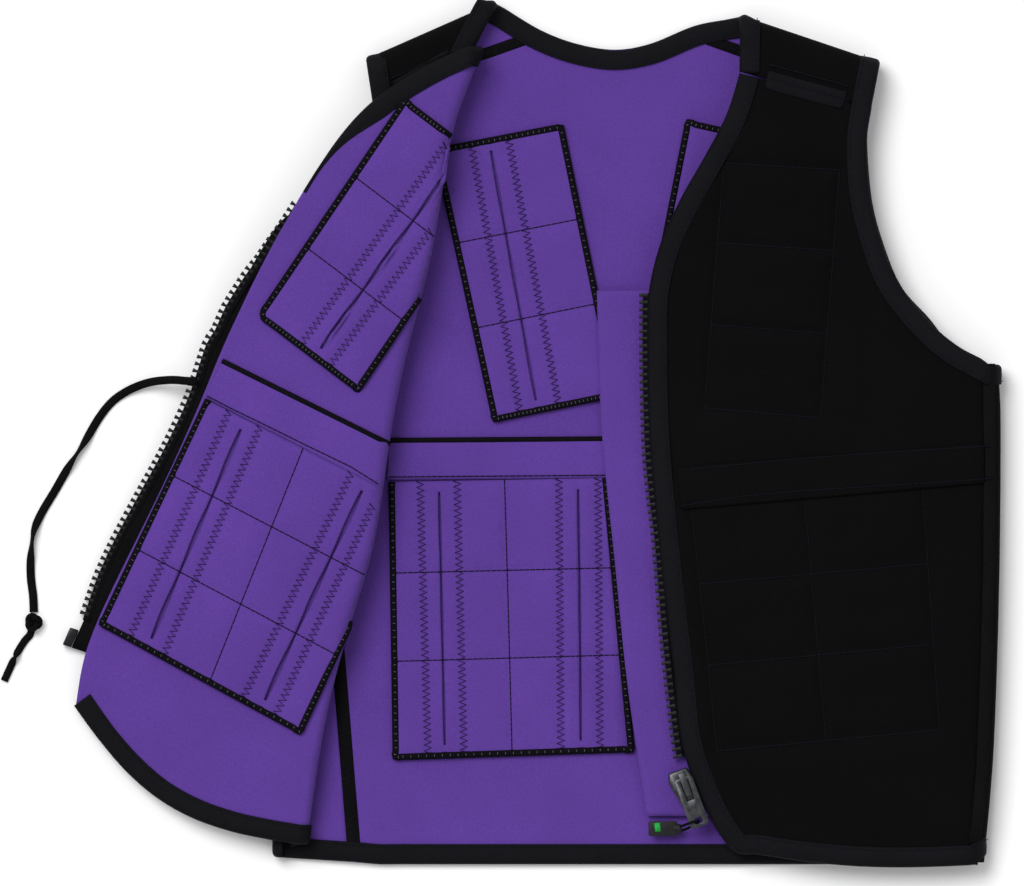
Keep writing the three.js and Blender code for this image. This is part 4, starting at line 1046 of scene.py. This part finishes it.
# zip: tapes, teeth, end box
for node in ("zip_tape_open", "zip_tape_closed"):
    tape = addPanel(node + "_cloth", node, atPhoto(250, 300, 0.05), 2, ["tapeCloth"] * 2, "zipTape")

tooth = {"pitch": 4.34 * mm, "width": 2.7 * mm, "height": 2.8 * mm, "length": 5.6 * mm, "waist": 0.6 * mm,
         "waistWidth": 0.62, "waistHeight": 0.8, "headHeight": 0.85, "bevel": 0.35 * mm}


# one moulded tooth: a block gripping the tape, a waist and a head, along +x
def toothShape():
    bpy.ops.object.select_all(action="DESELECT")
    bpy.ops.mesh.primitive_cube_add(size=1)
    block = bpy.context.active_object
    block.scale = (tooth["length"], tooth["width"], tooth["height"])
    bpy.ops.object.transform_apply(scale=True)
    bpy.ops.object.mode_set(mode="EDIT")
    for cut in (tooth["waist"], -tooth["waist"]):
        bpy.ops.mesh.select_all(action="SELECT")
        bpy.ops.mesh.bisect(plane_co=(cut, 0, 0), plane_no=(1, 0, 0))
    bpy.ops.object.mode_set(mode="OBJECT")
    for vert in block.data.vertices:
        if abs(vert.co.x) < tooth["length"] / 4:
            vert.co.y *= tooth["waistWidth"]
            vert.co.z *= tooth["waistHeight"]
        elif vert.co.x > 0:
            vert.co.z *= tooth["headHeight"]
    bevel = block.modifiers.new("edges", "BEVEL")
    bevel.width = tooth["bevel"]
    bevel.segments = 2
    bpy.ops.object.modifier_apply(modifier=bevel.name)
    shape = block.data.copy()
    bpy.data.objects.remove(block)
    return shape


def teethMesh(name, line, shape):
    work = bmesh.new()
    travelled, placed = 0.0, 0
    for a, b in zip(line, line[1:]):
        span = (b - a).length
        while placed * tooth["pitch"] <= travelled + span:
            spot = a.lerp(b, (placed * tooth["pitch"] - travelled) / span)
            out = Vector((b.y - a.y, a.x - b.x, 0)).normalized()
            turn = Matrix((out, skyward.cross(out), skyward)).transposed().to_4x4()
            before = len(work.verts)
            work.from_mesh(shape)
            work.verts.ensure_lookup_table()
            bmesh.ops.transform(work, matrix=Matrix.Translation(spot) @ turn, verts=work.verts[before:])
            placed += 1
        travelled += span
    return setSmooth(meshOf(work, name))


# each row: its plan, how far it stands from it, and the shift and the width of its tape's thick edge
teethPlans = {
    "zip_teeth_open": (
        [(291.5, 203), (280, 221), (271.5, 233), (263.5, 244), (255.5, 256), (246.5, 267), (238, 279), (230.5, 291),
         (222.5, 304), (216.5, 317), (210.5, 330), (202.5, 343), (184.5, 396), (160.5, 447), (136, 491.5), (112, 536),
         (99.5, 562), (93.5, 576), (86.4, 596), (79, 618)], (1.9 * mm, -1.1 * mm, 0), 2.9 * mm, 5.6 * mm),
    "zip_teeth_closed": (
        [(644, 295), (644, 359), (646, 443), (651, 500), (656, 541), (664, 639), (673, 721), (678, 757)],
        (0, 0, 0), 1.7 * mm, 4.6 * mm),
}


def teethLine(node, plan):
    tree = BVHTree.FromObject(nodes[node], bpy.context.evaluated_depsgraph_get())
    line = []
    for place in smoothLine(plan, 4 * mm):
        near = tree.find_nearest(raised(place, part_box(node)[1].z))[0]
        line.append(raised(place, topAt(tree, place.x, place.y, near.z) - tooth["height"] / 2))
    return line


# the thick edge of the tape that the teeth are moulded on
def addTapeEdge(name, line, shift, width):
    edge = [place + leftAt(line, k) * shift for k, place in enumerate(line)]
    addSweep(name, edge, oval(width, 1.6 * mm, 12), "tapeCloth", "zipTape")


toothMesh = toothShape()
for name, (points, offset, shift, width) in teethPlans.items():
    line = teethLine(name, [place + Vector(offset) for place in photoLine(*points)])
    addPiece(name + "_row", teethMesh(name + "_row", line, toothMesh), ["toothPlastic"], "zipTeeth", [name])
    addTapeEdge(name + "_tape_edge", line, shift, width)


# hard pieces keep the frame's shape, with their edges rounded
def addHard(name, node, width, material, slot, body="vest"):
    work = welded(node)
    bmesh.ops.dissolve_limit(work, angle_limit=math.radians(1), verts=work.verts, edges=work.edges)
    piece = addPiece(name, meshOf(work, name), [material], slot, [node], body)
    bevel = piece.modifiers.new("edges", "BEVEL")
    bevel.width = width
    bevel.segments = 3
    bevel.limit_method = "ANGLE"
    applyModifiers(piece)
    bpy.ops.object.shade_smooth_by_angle(angle=math.radians(40))


addHard("zip_end_box", "zip_box", 0.6 * mm, "toothPlastic", "zipTeeth")
addHard("slider_body", "zip_slider", 0.45 * mm, "darkMetal", "metal")
addHard("pull_plate", "zip_pull", 0.4 * mm, "darkMetal", "metal", "pull")
addHard("pull_tag_body", "pull_tag", 0.6 * mm, "tagRubber", "tag", "pull")
loopLow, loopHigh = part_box("pull_loop")
loopMesh = panelMesh("pull_loop", loopHigh, 0.0)
loopPiece = addPiece("pull_loop_cord", loopMesh, ["braid", "braid"], "cord", ["pull_loop"], "pull")
subdivide(loopPiece, 1)
tagLow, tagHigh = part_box("pull_tag")
tagMiddle = (tagLow + tagHigh) / 2
markFoot = Vector((tagMiddle.x - 3 * mm, tagMiddle.y - 1.8 * mm, tagHigh.z + 0.05 * mm))
markLine = [markFoot, markFoot + Vector((-0.6 * mm, 5.2 * mm, 0))]
addSweep("tag_mark", markLine, oval(3.4 * mm, 0.5 * mm), "greenMark", "tag", body="pull")
collarLine = smoothLine([Vector((tagHigh.x - 2.5 * mm, tagMiddle.y, tagMiddle.z)),
                         Vector((tagHigh.x, tagMiddle.y - 0.2 * mm, tagMiddle.z)),
                         Vector((loopLow.x + 1.4 * mm, tagMiddle.y + 0.2 * mm, tagMiddle.z))], 1 * mm)
addSweep("tag_collar", collarLine, oval(5.6 * mm, 3.2 * mm, 14), "tagRubber", "tag", body="pull")
print("zip made")


# drawcord: a flat braid from the casing over the zip to the floor, ending in a knot
cordLook = {"width": 5.0 * mm, "thick": 1.7 * mm, "step": 1.5 * mm, "exitLevel": 14.6 * mm, "floor": 1.0 * mm,
            "lift": [1, 1, 0.84, 0.36, 0.08], "twists": [0.47, 0.77], "tailTwists": [0.6], "tailWidth": 4.5 * mm,
            "turn": math.radians(70), "spread": 0.05}
sizes = {"chest": 445 * mm, "length": 516 * mm, "left": 59.16 * mm, "foot": -258.99 * mm}
cordRoute = [
    (-0.585, 0.561), (-0.600, 0.562), (-0.622, 0.563), (-0.650, 0.560), (-0.677, 0.551), (-0.699, 0.538),
    (-0.717, 0.519), (-0.735, 0.493), (-0.756, 0.465), (-0.776, 0.435), (-0.794, 0.409), (-0.805, 0.387),
    (-0.809, 0.359), (-0.809, 0.334), (-0.806, 0.312), (-0.805, 0.293),
]
tailRoute = [(-0.806, 0.279), (-0.810, 0.267), (-0.817, 0.260), (-0.829, 0.243), (-0.845, 0.213)]


def cordPoint(x, y, lift=0.0):
    level = cordLook["floor"] + (cordLook["exitLevel"] - cordLook["floor"]) * lift
    return Vector((sizes["left"] + x * sizes["chest"], sizes["foot"] + y * sizes["length"], level))


lifts = cordLook["lift"] + [0.0] * (len(cordRoute) - len(cordLook["lift"]))


# the flat braid stands on its edge where it twists
def twistAt(share, twists):
    return sum(cordLook["turn"] * math.exp(-((share - at) / cordLook["spread"]) ** 2) for at in twists)


def liftedAtTwists(points, twists):
    line = smoothLine(points, cordLook["step"])
    rise = (cordLook["width"] - cordLook["thick"]) / 2
    return [place + skyward * rise * math.sin(twistAt(k / (len(line) - 1), twists)) for k, place in enumerate(line)]


def cordUps(line, twists):
    turns = [twistAt(k / (len(line) - 1), twists) for k in range(len(line))]
    return [Matrix.Rotation(turn, 3, alongAt(line, k)) @ skyward for k, turn in enumerate(turns)]


def braidMesh(name, line, width, twists):
    return sweepMesh(name, line, oval(width, cordLook["thick"], 14), cordUps(line, twists))


cordPath = liftedAtTwists([cordPoint(*spot, lift) for spot, lift in zip(cordRoute, lifts)], cordLook["twists"])
cordMesh = braidMesh("drawcord_braid", cordPath, cordLook["width"], cordLook["twists"])
cordPiece = addPiece("drawcord_braid", cordMesh, ["braid"], "cord", ["drawcord"])
tailPath = liftedAtTwists([cordPoint(*spot) for spot in tailRoute], cordLook["tailTwists"])
tailMesh = braidMesh("tail", tailPath, cordLook["tailWidth"], cordLook["tailTwists"])

# knot: the braid wound twice over itself, with its tail
knot = {"place": (-0.8055, 0.2812), "lift": 3.4 * mm, "radius": 2.9 * mm, "turns": 2, "steps": 60, "drop": 1.5 * mm,
        "swell": 0.35, "stretch": 1.05, "wave": 1.5, "width": 3.6 * mm, "thick": 2.6 * mm}


def knotLine():
    centre = cordPoint(*knot["place"]) + skyward * knot["lift"]
    made = []
    for k in range(knot["steps"] + 1):
        angle = 2 * math.pi * knot["turns"] * k / knot["steps"]
        wide = knot["radius"] * (1 + knot["swell"] * math.cos(knot["wave"] * angle))
        made.append(centre + Vector((wide * math.cos(angle), knot["stretch"] * wide * math.sin(angle),
                                     knot["drop"] * math.sin(knot["wave"] * angle))))
    return made


knotMesh = sweepMesh("knot", knotLine(), oval(knot["width"], knot["thick"], 12))
endMesh = setSmooth(meshOf(workOn(knotMesh, tailMesh), "drawcord_end"))
knotPiece = addPiece("drawcord_end", endMesh, ["braid"], "cord", ["drawcord_knot"])
tuple(cordPath[0])
lengthOf(cordPath)
[tuple(place) for place in cordPath]
print("cord made", round(lengthOf(cordPath), 4))


print("vest pieces made")


# floor and light
studio = {"floor": 6.0, "level": -0.2 * mm, "white": (0.93, 0.93, 0.94), "sky": 0.62, "sun": 2.1, "sunSize": 34,
          "lean": (24, -22)}
bpy.ops.object.select_all(action="DESELECT")
bpy.ops.mesh.primitive_plane_add(size=studio["floor"], location=(0, 0, studio["level"]))
floor = bpy.context.active_object
floor.name = "floor"
floorMaterial, _, floorShader = newMaterial("floorWhite")
setValues(floorShader, {"Base Color": (*studio["white"], 1), "Roughness": 0.9, "Specular IOR Level": 0.0})
floor.data.materials.append(floorMaterial)
world = bpy.data.worlds.new("studio")
bpy.context.scene.world = world
world.use_nodes = True
setValues(world.node_tree.nodes["Background"], {"Color": (1, 1, 1, 1), "Strength": studio["sky"]})
sunData = bpy.data.lights.new("sun", "SUN")
sunData.energy = studio["sun"]
sunData.angle = math.radians(studio["sunSize"])
sun = bpy.data.objects.new("sun", sunData)
sun.rotation_euler = (math.radians(-studio["lean"][0]), math.radians(studio["lean"][1]), 0)
bpy.context.scene.collection.objects.link(sun)
